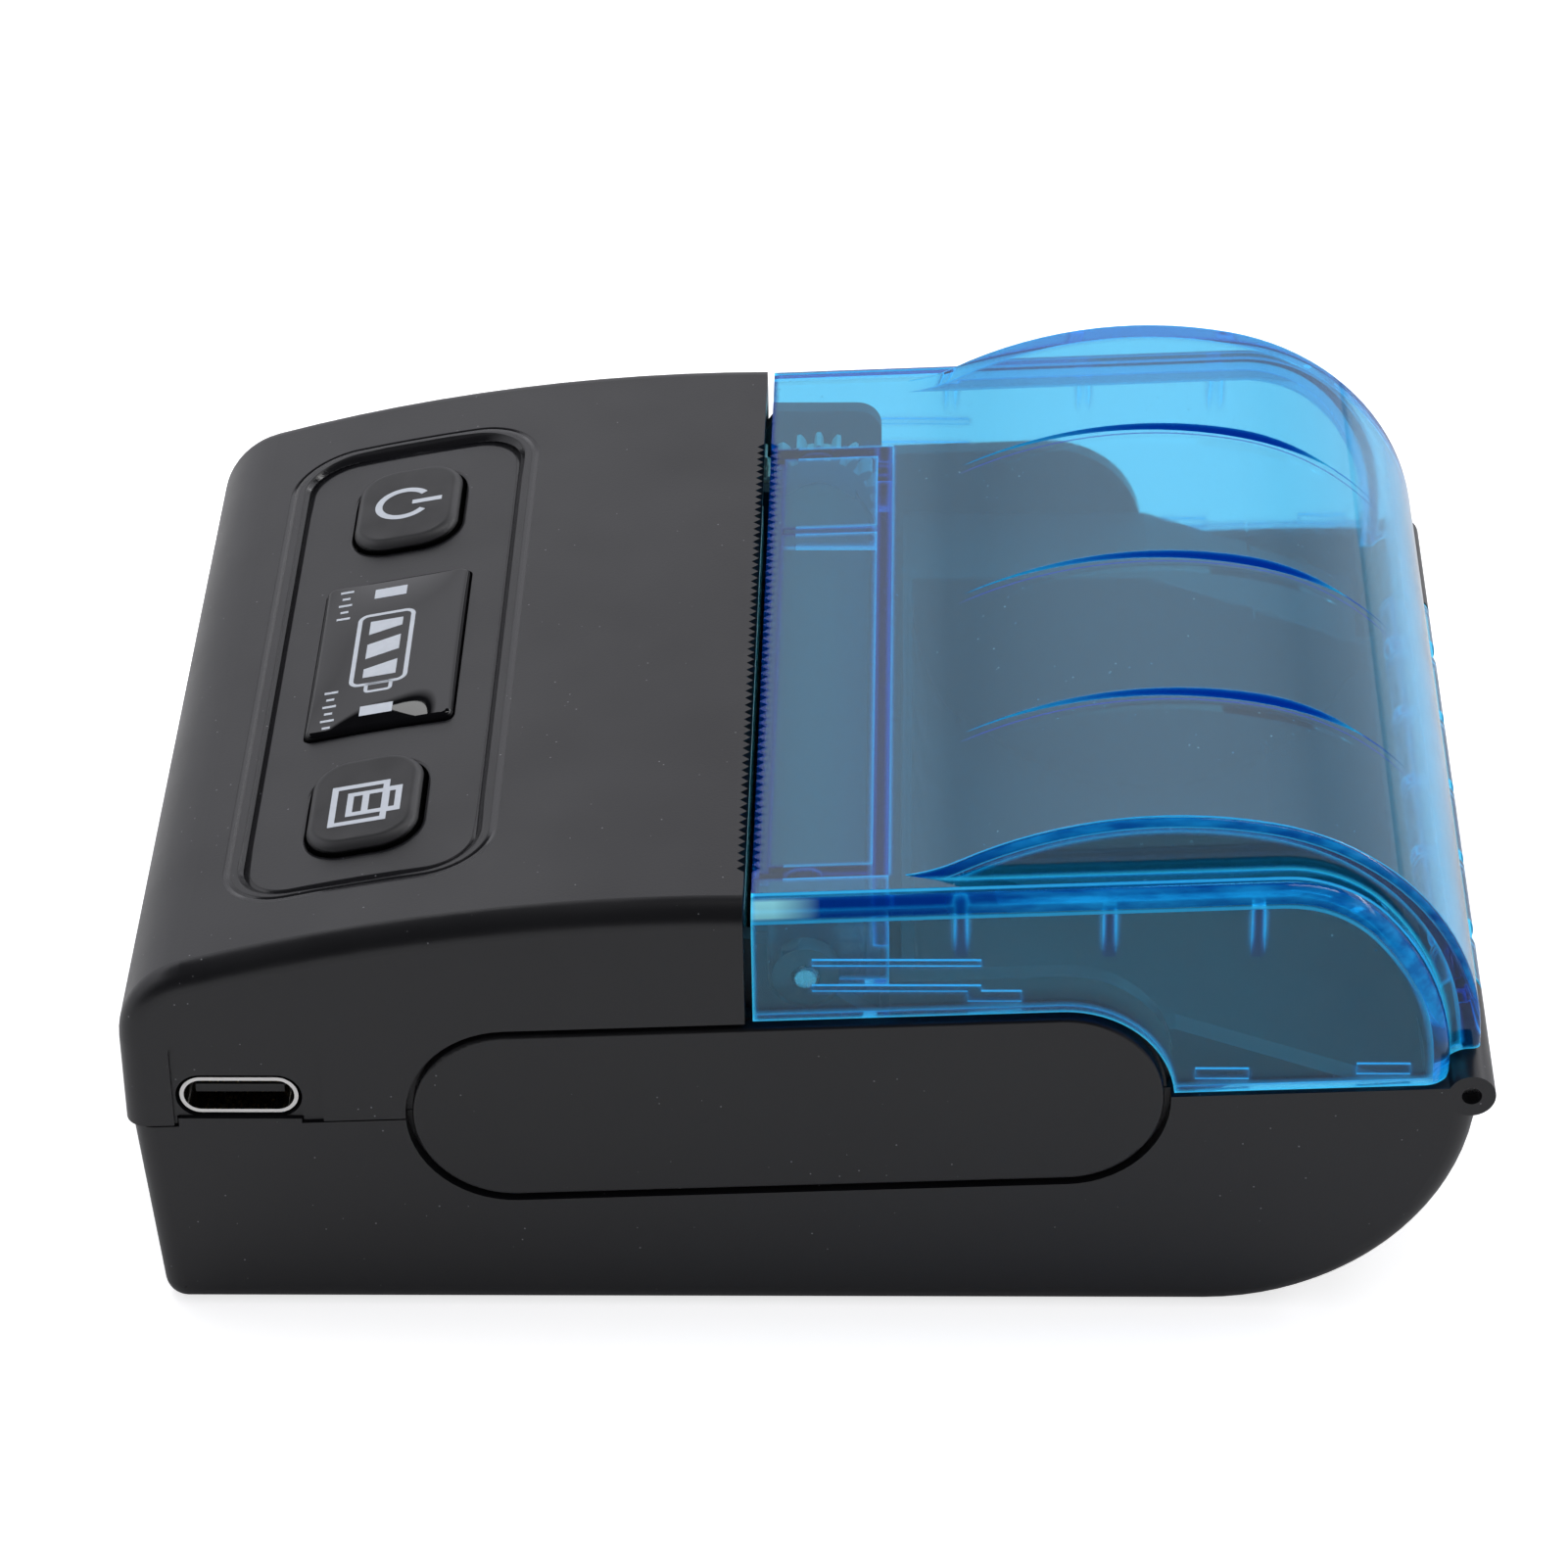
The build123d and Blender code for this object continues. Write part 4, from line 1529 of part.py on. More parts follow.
with BuildPart() as paper_cover:
    extrude(lid_side(0), amount=HALF_WIDTH, both=True)
    side_edges = faces().filter_by(Axis.X).edges()
    rounded = side_edges.filter_by(
        lambda e: e.center().Z > LID_BLANK_Z + CUT_MARGIN
        and e.center().Y > LID_FRONT_Y + CUT_MARGIN
    )
    fillet(rounded, LID_EDGE_RADIUS)
    add(bulge_outside.part)
    extrude(lid_side(LID_WALL), amount=LID_INNER_X, both=True, mode=Mode.SUBTRACT)
    extrude(
        bulge_side(LID_WALL), amount=BULGE_WIDTH / 2 - LID_WALL, both=True, mode=Mode.SUBTRACT
    )
    add(cover_grooves.part, mode=Mode.SUBTRACT)
    extrude(beyond_parting(-1, LID_SEAT), amount=WIDTH, both=True, mode=Mode.SUBTRACT)
    for side in (-1, 1):
        add(grip_slab(side, -LID_WALL, 3 * LID_WALL, LID_GRIP_GAP), mode=Mode.SUBTRACT)

    # Barrel on the hinge pin, slotted, with room for the case's knuckles at both ends
    for side in (-1, 1):
        add(
            rod_x(
                HINGE_Y, HINGE_Z, HINGE_RADIUS + HINGE_SWEEP,
                side * BARREL_HALF, side * (HALF_WIDTH + CUT_MARGIN),
            ),
            mode=Mode.SUBTRACT,
        )
    add(rod_x(HINGE_Y, HINGE_Z, HINGE_RADIUS, -BARREL_HALF, BARREL_HALF))
    for i in (-2, -1, 0, 1, 2):
        slot = BARREL_END_SLOT_WIDTH if abs(i) == 2 else BARREL_SLOT_WIDTH
        slot_x = i * BARREL_SLOT_PITCH
        add(
            block(
                slot_x - slot / 2, slot_x + slot / 2,
                HINGE_Y - 2 * HINGE_RADIUS, HINGE_Y + 2 * HINGE_RADIUS,
                HINGE_Z - 2 * HINGE_RADIUS, HINGE_Z + BARREL_SLOT_RISE,
            ),
            mode=Mode.SUBTRACT,
        )
    pin_hole = HINGE_PIN_RADIUS + HINGE_PIN_PLAY
    add(rod_x(HINGE_Y, HINGE_Z, pin_hole, -HALF_WIDTH, HALF_WIDTH), mode=Mode.SUBTRACT)

    # Platen holder under the front: two end walls, a rear wall, a lip and one cross rib
    holder_top = shelf_z(LID_FRONT_Y) - LID_WALL / 2
    for side in (-1, 1):
        near = PATH_X + side * HOLDER_HALF
        far = near + side * HOLDER_WALL
        add(
            block(
                min(near, far), max(near, far), LID_FRONT_Y, HOLDER_REAR_Y,
                HOLDER_END_BOTTOM_Z, holder_top,
            )
        )
    path_left = PATH_X - HOLDER_HALF - HOLDER_WALL / 2
    path_right = PATH_X + HOLDER_HALF + HOLDER_WALL / 2
    wall_y = HOLDER_REAR_Y - HOLDER_REAR_WALL
    add(block(path_left, path_right, wall_y, HOLDER_REAR_Y, HOLDER_REAR_BOTTOM_Z, holder_top))
    lip_y = LID_FRONT_Y + LIP_THICK
    add(block(path_left, path_right, LID_FRONT_Y, lip_y, LIP_BOTTOM_Z, holder_top))
    rib_x = PATH_X + HOLDER_RIB_OFFSET
    rib_half = HOLDER_RIB_THICK / 2
    add(block(rib_x - rib_half, rib_x + rib_half, lip_y, wall_y, HOLDER_RIB_BOTTOM_Z, holder_top))
    add(
        rod_x(PLATEN_Y, PLATEN_Z, PLATEN_SHAFT_RADIUS + RUN_GAP, LEFT_PLATE_X, RIGHT_PLATE_X),
        mode=Mode.SUBTRACT,
    )
    lip_cut = (LIP_BOTTOM_Z - CUT_MARGIN, TOP_Z + CUT_MARGIN)
    add(saw_strip(LID_FRONT_Y, 1, *lip_cut, TEAR_WIDTH), mode=Mode.SUBTRACT)

    # Small ribs, tabs and stripes inside the side walls
    grip_top = GRIP_HEIGHT / 2 + LID_GRIP_GAP
    tabs = [(SIDE_TAB_GRIP_Y, part_z(SIDE_TAB_GRIP_Y) + grip_top + SIDE_TAB_RISE)]
    for room in SIDE_TAB_REAR_ROOMS:
        tab_y = REAR_REACH - room
        tabs.append((tab_y, part_z(tab_y) + LID_SEAT + SIDE_TAB_RISE))
    for side in (-1, 1):
        wall_x = side * (LID_INNER_X + LID_WALL / 2)
        rib_tip = side * (LID_INNER_X - SIDE_RIB_DEPTH)
        for i in range(SIDE_RIB_COUNT):
            y = SIDE_RIB_FIRST_Y + i * SIDE_RIB_PITCH
            with BuildSketch(Plane.XZ.offset(-y)):
                with BuildLine():
                    Polyline(
                        (wall_x, SIDE_RIB_BOTTOM_Z),
                        (side * LID_INNER_X, SIDE_RIB_BOTTOM_Z),
                        (rib_tip, holder_top),
                        (wall_x, holder_top),
                        close=True,
                    )
                make_face()
            extrude(amount=SIDE_RIB_WIDTH / 2, both=True)
        tab_tip = side * (LID_INNER_X - SIDE_TAB_DEPTH)
        for y, z in tabs:
            add(
                block(
                    min(tab_tip, wall_x), max(tab_tip, wall_x),
                    y - SIDE_TAB_LENGTH / 2, y + SIDE_TAB_LENGTH / 2, z, z + SIDE_TAB_HEIGHT,
                )
            )
        for z in SIDE_STRIPE_PLACES:
            add(
                block(
                    min(tab_tip, wall_x), max(tab_tip, wall_x),
                    SIDE_STRIPE_START_Y, SIDE_STRIPE_END_Y, z, z + SIDE_STRIPE_HEIGHT,
                )
            )
paper_cover.part.label = "paper_cover"
export_step(paper_cover.part, "parts/paper_cover.step")
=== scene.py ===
# %% [markdown]
# A palm-sized receipt printer
#
# The printer is a black moulded case with a translucent blue cover over its paper well. Its shapes
# come from the CAD frame, so this lesson is about everything that the eye adds to shape: the camera,
# the light, the printed marks and, above all, the finishes.

# %% Load the frame
import json
from math import cos, pi, radians, sin

import bpy
from mathutils import Matrix, Vector


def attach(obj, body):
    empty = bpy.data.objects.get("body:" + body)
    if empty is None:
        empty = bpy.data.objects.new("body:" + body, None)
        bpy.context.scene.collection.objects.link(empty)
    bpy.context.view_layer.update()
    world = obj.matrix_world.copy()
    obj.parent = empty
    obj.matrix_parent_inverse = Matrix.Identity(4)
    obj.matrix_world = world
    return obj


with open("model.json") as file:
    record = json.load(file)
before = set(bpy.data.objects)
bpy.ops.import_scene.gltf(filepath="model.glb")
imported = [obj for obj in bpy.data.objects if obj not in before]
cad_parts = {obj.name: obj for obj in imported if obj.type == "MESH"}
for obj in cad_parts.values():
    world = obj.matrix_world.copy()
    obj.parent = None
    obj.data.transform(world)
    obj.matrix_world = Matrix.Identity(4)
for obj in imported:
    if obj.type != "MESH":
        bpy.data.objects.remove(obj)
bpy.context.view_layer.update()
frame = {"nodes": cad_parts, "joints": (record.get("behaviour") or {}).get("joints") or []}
print("nodes in the frame:", len(frame["nodes"]))

# %% [markdown]
# The sloping key panel
#
# The two keys and the window sit on a panel that slopes down to the nose. Every mark printed there
# is easier to place in the panel's own directions: across, along and up from its floor. They are
# worked out once, from the panel's middle and from the direction that a key travels in.

# %% Directions of the key panel
MM = 0.001
PANEL_MIDDLE = Vector((0.3, -33.8, 34.41)) * MM
key_travel = next(j["axis"] for j in frame["joints"] if j["name"] == "power_press")
PANEL_UP = -Vector(key_travel).normalized()
PANEL_ACROSS = Vector((1, 0, 0))
PANEL_ALONG = PANEL_UP.cross(PANEL_ACROSS)


def on_panel(across, along, up):
    """A point of the frame from millimetres across, along and up from the panel's middle."""
    return PANEL_MIDDLE + MM * (across * PANEL_ACROSS + along * PANEL_ALONG + up * PANEL_UP)


print("panel slopes by", round(PANEL_UP.angle(Vector((0, 0, 1))) * 180 / pi, 2), "degrees")

# %% [markdown]
# The camera
#
# The printer is seen from its charging-port side, 34 degrees above the table, through a long lens.
# A long lens from far away keeps the case's edges nearly parallel. The picture is square, so the
# lens follows from how many pixels wide one radian would be.

# %% Camera
IMAGE_SIDE = 1601
PIXELS_PER_RADIAN = 5695.45
SENSOR_MM = 36.0
CAMERA_PLACE = Vector((372.26, 8.91, 272.97)) * MM
LOOK_DOWN = 0.59428
LOOK_ASIDE = 0.030675
CAMERA_ROLL = 0.016988
NEAREST_SEEN = 0.01

level_ahead = Vector((-cos(LOOK_ASIDE), -sin(LOOK_ASIDE), 0))
level_right = Vector((-sin(LOOK_ASIDE), cos(LOOK_ASIDE), 0))
ahead = level_ahead * cos(LOOK_DOWN) - Vector((0, 0, sin(LOOK_DOWN)))
upright = level_ahead * sin(LOOK_DOWN) + Vector((0, 0, cos(LOOK_DOWN)))
right = level_right * cos(CAMERA_ROLL) - upright * sin(CAMERA_ROLL)
top = level_right * sin(CAMERA_ROLL) + upright * cos(CAMERA_ROLL)

lens = bpy.data.cameras.new("camera")
lens.sensor_width = SENSOR_MM
lens.lens = SENSOR_MM * PIXELS_PER_RADIAN / IMAGE_SIDE
lens.clip_start = NEAREST_SEEN
camera = bpy.data.objects.new("camera", lens)
bpy.context.collection.objects.link(camera)
turned = Matrix((right, top, -ahead)).transposed().to_4x4()
camera.matrix_world = Matrix.Translation(CAMERA_PLACE) @ turned
bpy.context.scene.camera = camera
print("lens", round(lens.lens, 1), "mm, looking down", round(LOOK_DOWN * 180 / pi, 1), "degrees")

# %% [markdown]
# Helpers for node trees
#
# A finish is a small tree of nodes that ends in one Principled shader. Three things come back in
# nearly every tree: noise measured in millimetres of the real object, a value spread between two
# limits, and relief that bends the surface's normal. The noise reads object coordinates, which on
# every CAD node are metres of the frame, so the same grain has the same size on each piece.
#
# A Mix node has sockets for every kind of value and hides those that it doesn't use. Its two numbers
# are always sockets 2 and 3, and its two colours are sockets 6 and 7.

# %% Helpers for node trees
def plug(socket, value):
    """Links a socket to another node's output, or sets its value. A colour has three parts here."""
    if isinstance(value, bpy.types.NodeSocket):
        socket.id_data.links.new(value, socket)
    elif socket.type == "RGBA":
        socket.default_value = (*value, 1)
    else:
        socket.default_value = value


def add(tree, kind, inputs=None, **settings):
    """A new shader node with its settings and its inputs plugged."""
    made = tree.nodes.new("ShaderNode" + kind)
    for name, value in settings.items():
        setattr(made, name, value)
    for place, value in (inputs or {}).items():
        plug(made.inputs[place], value)
    return made


def frame_place(tree, stretch=(1, 1, 1)):
    """Where the shaded point lies in the frame, in millimetres, stretched for long grains."""
    metres = add(tree, "TexCoord").outputs["Object"]
    scale = [part / MM for part in stretch]
    return add(tree, "Mapping", {"Vector": metres, "Scale": scale}).outputs["Vector"]


def grain(tree, per_mm, detail=2.0, stretch=(1, 1, 1)):
    """Cloudy noise with so many lumps to the millimetre, from 0 to 1."""
    inputs = {"Vector": frame_place(tree, stretch), "Scale": per_mm, "Detail": detail}
    return add(tree, "TexNoise", inputs).outputs[0]


def spread(tree, value, low, high, start=0.3, end=0.7):
    """The value between start and end, spread from low to high."""
    inputs = {"Value": value, "From Min": start, "From Max": end, "To Min": low, "To Max": high}
    return add(tree, "MapRange", inputs).outputs["Result"]


def two_tone(tree, value, dark, light):
    """A colour between dark and light, by a value from 0 to 1. Either may come from another node."""
    return add(tree, "Mix", {0: value, 6: dark, 7: light}, data_type="RGBA").outputs[2]


def between(tree, value, first, second):
    """A number between the first and the second, by a value from 0 to 1."""
    return add(tree, "Mix", {0: value, 2: first, 3: second}).outputs[0]


def relief(tree, height, depth_mm, strength=1.0, base=None):
    """A bent normal from a height map so many millimetres deep, on top of another one if given."""
    inputs = {"Height": height, "Distance": depth_mm * MM, "Strength": strength}
    if base is not None:
        inputs["Normal"] = base
    return add(tree, "Bump", inputs).outputs["Normal"]


# %% [markdown]
# Every finish starts in the same way: a material, its node tree, and the Principled shader that a new
# material comes with. What is the same all over is set on the shader's own sockets, and what differs
# from point to point is plugged into them.

# %% Start of a finish, and giving it to pieces
def new_finish(name, roughness, metallic=0.0, **constants):
    """A material, its tree and its Principled shader with the constants set on its own sockets."""
    made = bpy.data.materials.new(name)
    made.use_nodes = True
    shader = made.node_tree.nodes["Principled BSDF"]
    shader.inputs["Roughness"].default_value = roughness
    shader.inputs["Metallic"].default_value = metallic
    for socket, value in constants.items():
        shader.inputs[socket.replace("_", " ")].default_value = value
    return made, made.node_tree, shader


def dress(material, *names):
    """Gives the material to CAD nodes."""
    for name in names:
        for place in frame["nodes"][name].material_slots:
            place.material = material
    print(material.name, "on", ", ".join(names))


# %% [markdown]
# Outlines as distances
#
# The keys, the window and the recessed panel are rounded rectangles. A finish can ask how far outside
# such an outline a point lies, and so dish or polish the plastic just along a rim.

# %% Distances on the panel
def maths(tree, operation, *values):
    """The result of a Math node."""
    return add(tree, "Math", dict(enumerate(values)), operation=operation).outputs[0]


def all_of(tree, *masks):
    """The product of masks, which is 1 only where each of them is."""
    product = masks[0]
    for mask in masks[1:]:
        product = maths(tree, "MULTIPLY", product, mask)
    return product


def inverse(tree, mask):
    """One minus the mask, so 1 where the mask is 0."""
    return maths(tree, "SUBTRACT", 1, mask)


def dot(tree, first, second):
    """How far the first direction runs along the second."""
    return add(tree, "VectorMath", {0: first, 1: second}, operation="DOT_PRODUCT").outputs["Value"]


def panel_place(tree):
    """Where the shaded point lies across, along and up from the panel's middle, in millimetres."""
    metres = add(tree, "TexCoord").outputs["Object"]
    offset = add(tree, "VectorMath", {0: metres, 1: tuple(PANEL_MIDDLE)}, operation="SUBTRACT").outputs[0]
    directions = (PANEL_ACROSS, PANEL_ALONG, PANEL_UP)
    return [dot(tree, offset, tuple(direction / MM)) for direction in directions]


def outside(tree, across, along, width, length, corner):
    """How many millimetres a place lies outside a rounded rectangle about the middle."""
    squares = []
    for place, side in ((across, width), (along, length)):
        past = maths(tree, "SUBTRACT", maths(tree, "ABSOLUTE", place), side / 2 - corner)
        past = maths(tree, "MAXIMUM", past, 0)
        squares.append(maths(tree, "MULTIPLY", past, past))
    return maths(tree, "SUBTRACT", maths(tree, "SQRT", maths(tree, "ADD", *squares)), corner)


# %% [markdown]
# Black moulded case
#
# The two case halves are injection moulded in black plastic, in a mould whose walls were spark
# eroded. That leaves a very fine, even roughness: the plastic looks black from the side and dark
# grey where it mirrors the room. Paint would need a clear coat, but here the bare plastic does it:
# an almost black base, a satin roughness and a shallow grain of about a fifth of a millimetre.
# Black plastic also shows every speck of dust, so a few pale ones lie on it.

# %% Black moulded plastic
SPECKS_PER_MM = 0.9
SPECK_RADIUS = 0.07
SPECK_CORE = 0.7
SPECK_COLOUR = (0.16, 0.16, 0.17)
DUSTY_PATCHES_PER_MM = 0.11
DUSTY_PATCH_EDGE = (0.5, 0.56)
SATIN = (0.32, 0.38)
SATIN_CLOUDS_PER_MM = 0.12
SPARKS_PER_MM = 5.0


def specks(tree):
    """1 on sparse specks of dust, 0 between them."""
    dots = add(tree, "TexVoronoi", {"Vector": frame_place(tree), "Scale": SPECKS_PER_MM}).outputs["Distance"]
    dusty_patches = spread(tree, grain(tree, DUSTY_PATCHES_PER_MM, 1), 0, 1, *DUSTY_PATCH_EDGE)
    round_dots = spread(tree, dots, 1, 0, SPECK_CORE * SPECK_RADIUS, SPECK_RADIUS)
    return maths(tree, "MULTIPLY", round_dots, dusty_patches)


def moulded_black(name, dark, light, grain_depth):
    """Black plastic out of a spark-eroded mould."""
    made, tree, shader = new_finish(name, SATIN[0], IOR=1.5)
    clouds = grain(tree, SATIN_CLOUDS_PER_MM, 3)
    clean = two_tone(tree, clouds, dark, light)
    plug(shader.inputs["Base Color"], two_tone(tree, specks(tree), clean, SPECK_COLOUR))
    plug(shader.inputs["Roughness"], spread(tree, clouds, *SATIN))
    plug(shader.inputs["Normal"], relief(tree, grain(tree, SPARKS_PER_MM, 2), grain_depth, 0.5))
    return made


# %% [markdown]
# The mould was polished in the fine grooves round the panel and in the dished lips of the key holes.
# There the plastic mirrors the dark ceiling like a black mirror, so these rims are drawn in black.
# One groove lies at the foot of the panel's slope and grows towards the panel's ends. The other runs
# just outside its brink.

# %% Case finish
KEY_PITCH = 43.3
KEY_WIDTH = 11.8
KEY_LENGTH = 8.8
KEY_CORNER = 3.2
LIP_WIDTH = 0.6
LIP_DEPTH = 0.42
RIM_WIDTH = 64.7
RIM_LENGTH = 20.2
RIM_CORNER = 5.0
RIM_SLOPE = 1.0
FOOT_WIDTH = 0.34
FOOT_DEPTH = 0.15
FOOT_END_GROWTH = 1.7
FOOT_END_FROM = 24.0
FOOT_END_TO = 31.0
BRINK_OUT = 0.28
BRINK_WIDTH = 0.34
BRINK_DEPTH = 0.15
PANEL_HALF_HEIGHT = 2.0
POLISHED_FROM = (0.1, 0.5)
POLISHED_ROUGH = 0.16


def case_halves():
    """The moulded black, with polished grooves round the panel and dished lips round the keys."""
    made = moulded_black("case_black", (0.0075, 0.0075, 0.009), (0.0105, 0.0105, 0.012), 0.012)
    tree = made.node_tree
    shader = tree.nodes["Principled BSDF"]
    across, along, up = panel_place(tree)
    off_middle = maths(tree, "ABSOLUTE", across)
    on_top = maths(tree, "LESS_THAN", maths(tree, "ABSOLUTE", up), PANEL_HALF_HEIGHT)
    from_key = maths(tree, "SUBTRACT", off_middle, KEY_PITCH / 2)
    off_key = outside(tree, from_key, along, KEY_WIDTH, KEY_LENGTH, KEY_CORNER)
    lip = all_of(tree, spread(tree, off_key, 1, 0, 0, LIP_WIDTH), on_top)
    off_rim = outside(tree, across, along, RIM_WIDTH, RIM_LENGTH, RIM_CORNER)
    growth = spread(tree, off_middle, 1, FOOT_END_GROWTH, FOOT_END_FROM, FOOT_END_TO)
    foot_width = maths(tree, "MULTIPLY", growth, FOOT_WIDTH)
    grooves = []
    for line, width in ((RIM_SLOPE, foot_width), (-BRINK_OUT, BRINK_WIDTH)):
        off_line = maths(tree, "ABSOLUTE", maths(tree, "ADD", off_rim, line))
        grooves.append(all_of(tree, spread(tree, off_line, 1, 0, 0, width), on_top))
    foot, brink = grooves
    rims = maths(tree, "MAXIMUM", maths(tree, "MAXIMUM", foot, brink), lip)
    polish = spread(tree, rims, 0, 1, *POLISHED_FROM)
    rough = shader.inputs["Roughness"].links[0].from_socket
    plug(shader.inputs["Roughness"], between(tree, polish, rough, POLISHED_ROUGH))
    height = all_of(tree, lip, lip, -LIP_DEPTH)
    height = maths(tree, "SUBTRACT", height, all_of(tree, foot, growth, FOOT_DEPTH))
    height = maths(tree, "SUBTRACT", height, all_of(tree, brink, BRINK_DEPTH))
    sparks = shader.inputs["Normal"].links[0].from_socket
    plug(shader.inputs["Normal"], relief(tree, height, 1.0, 1.0, sparks))
    return made


case_black = case_halves()
dress(case_black, "lower_case", "upper_case")

# %% [markdown]
# Side inserts
#
# The inserts are separate mouldings let into the case's sides. Their mould was finer, so they look
# a little smoother and show a thin dark line all round, which is their gap.

# %% Insert finish
insert_black = moulded_black("insert_black", (0.0065, 0.0065, 0.0075), (0.0095, 0.0095, 0.011), 0.008)
dress(insert_black, "side_insert_left", "side_insert_right")

# %% [markdown]
# Key caps
#
# Each key is satin on its flat top and polished on its sides. Its rounding is a little paler: a
# painted sheen for the light that the rounding mirrors. One material can do all three, because these
# areas face different ways: the nearer the surface's direction is to the panel's, the more satin it is.

# %% Key cap finish
KEY_SIDE_BLACK = (0.002, 0.002, 0.002)
KEY_ROUNDING_SHEEN_GREY = (0.035, 0.035, 0.037)
KEY_TOP_BLACK = (0.011, 0.011, 0.012)
KEY_SIDE_ROUGH = 0.08
KEY_FLAT_FROM = (0.9, 0.98)
KEY_ROUNDING_FROM = (0.1, 0.35)
KEY_CLOUDS_PER_MM = 0.3


def key_cap():
    """Satin on the flat top, a painted paler sheen on the rounding, polished on the sides."""
    made, tree, shader = new_finish("key_black", 0.4, IOR=1.5)
    upward = dot(tree, add(tree, "TexCoord").outputs["Normal"], tuple(PANEL_UP))
    flat = spread(tree, upward, 0, 1, *KEY_FLAT_FROM)
    rounding = spread(tree, upward, 0, 1, *KEY_ROUNDING_FROM)
    satin = spread(tree, grain(tree, KEY_CLOUDS_PER_MM), 0.4, 0.5)
    plug(shader.inputs["Roughness"], between(tree, rounding, KEY_SIDE_ROUGH, satin))
    # Painted sheen: the rounding is a paler grey than the top and the sides.
    rounding_sheen = two_tone(tree, rounding, KEY_SIDE_BLACK, KEY_ROUNDING_SHEEN_GREY)
    plug(shader.inputs["Base Color"], two_tone(tree, flat, rounding_sheen, KEY_TOP_BLACK))
    plug(shader.inputs["Normal"], relief(tree, grain(tree, SPARKS_PER_MM), 0.012, 0.4))
    return made


key_black = key_cap()
dress(key_black, "power_button", "feed_button")

# %% [markdown]
# Display window
#
# The window is a smoked lens with a crown of clear resin: glossy, almost black, and never quite
# flat. Resin that sets in a shallow tray stands highest in the middle and falls towards all four
# edges, like a stretched skin. Its near end leans far enough to mirror the dark ceiling, and so ends
# in a black crescent.

# %% Window finish
CROWN_HEIGHT = 0.85
CROWN_POWER = 2.6
WINDOW_HALF_WIDTH = 10.9
WINDOW_HALF_LENGTH = 6.1
SMEARS_PER_MM = 0.35
WINDOW_WAVES_PER_MM = 0.08


def smoked_window():
    """Polished, nearly black, crowned towards its edges, with a slow wave and a few faint smears."""
    made, tree, shader = new_finish("window_black", 0.03, IOR=1.44)
    smears = grain(tree, SMEARS_PER_MM, 4, (1, 3, 1))
    plug(shader.inputs["Base Color"], two_tone(tree, smears, (0.002, 0.002, 0.0025), (0.004, 0.004, 0.005)))
    plug(shader.inputs["Roughness"], spread(tree, smears, 0.01, 0.03))
    across, along = panel_place(tree)[:2]
    crown = CROWN_HEIGHT
    for place, half in ((across, WINDOW_HALF_WIDTH), (along, WINDOW_HALF_LENGTH)):
        share = maths(tree, "DIVIDE", place, half)
        power = maths(tree, "POWER", maths(tree, "ABSOLUTE", share), CROWN_POWER)
        crown = all_of(tree, crown, inverse(tree, power))
    wave = relief(tree, grain(tree, WINDOW_WAVES_PER_MM, 1), 0.02, 0.5)
    plug(shader.inputs["Normal"], relief(tree, crown, 1.0, 1.0, wave))
    return made


window_black = smoked_window()
dress(window_black, "display_window")

# %% [markdown]
# Translucent blue cover
#
# The cover is clear plastic dyed blue right through. A painted-on blue would be the same at every
# depth, but here light that crosses one wall comes out cyan, and light that runs along a wall, to an
# edge or a groove, comes out deep blue. So the surface is clear glass-like plastic, and the colour
# sits inside it as absorption: red is soaked up within a millimetre, green slowly, blue hardly.
#
# A sheet like this is also a light guide: what it gathers over its whole face comes out where the
# sheet turns, at edges, rims and grooves. That light is painted here, as a painted deep blue glow with
# a painted cyan highlight along the turn. The Bevel node finds such turns, because it averages the
# normal over a small ball. Where the average leans away from the true normal, a deep blue matt layer
# is mixed in, and it gives off a little painted light of its own.

# %% Helpers for masks
def band(tree, value, rise, fall):
    """1 between two limits, with a slope over the span of each."""
    return all_of(tree, spread(tree, value, 0, 1, *rise), spread(tree, value, 1, 0, *fall))


def frame_parts(tree, kind="Object"):
    """The X, Y and Z parts of the shaded point's place in the frame, in metres, or of a direction."""
    return add(tree, "SeparateXYZ", {0: add(tree, "TexCoord").outputs[kind]}).outputs


# %% [markdown]
# Some faces are told apart by the way they lean. Over the bulge in the middle, the faces that lean
# sideways are the walls of its three grooves, painted in a deep blue glow. Nearer the sides, they are
# the long rounded edges, with a fine painted highlight line along either side. A thin score, painted
# in the grooves' blue, carries the grooves on towards the rear.

# %% Leaning faces of the cover
UPWARD_FROM = (0.05, 0.2)
LEANING = ((0.2, 0.45), (0.88, 0.97))
UPPER_LINE = ((0.04, 0.1), (0.15, 0.24))
LOWER_LINE = ((0.9, 0.94), (0.965, 0.975))
BULGE_HALF_WIDTH = 23.0
GROOVE_PITCH = 19.7
GROOVE_FROM = 11.6
GROOVE_TO = 46.0
GROOVE_FADE_IN = 2.0
GROOVE_FADE_OUT = 3.0
SCORE_WIDTH = 0.18


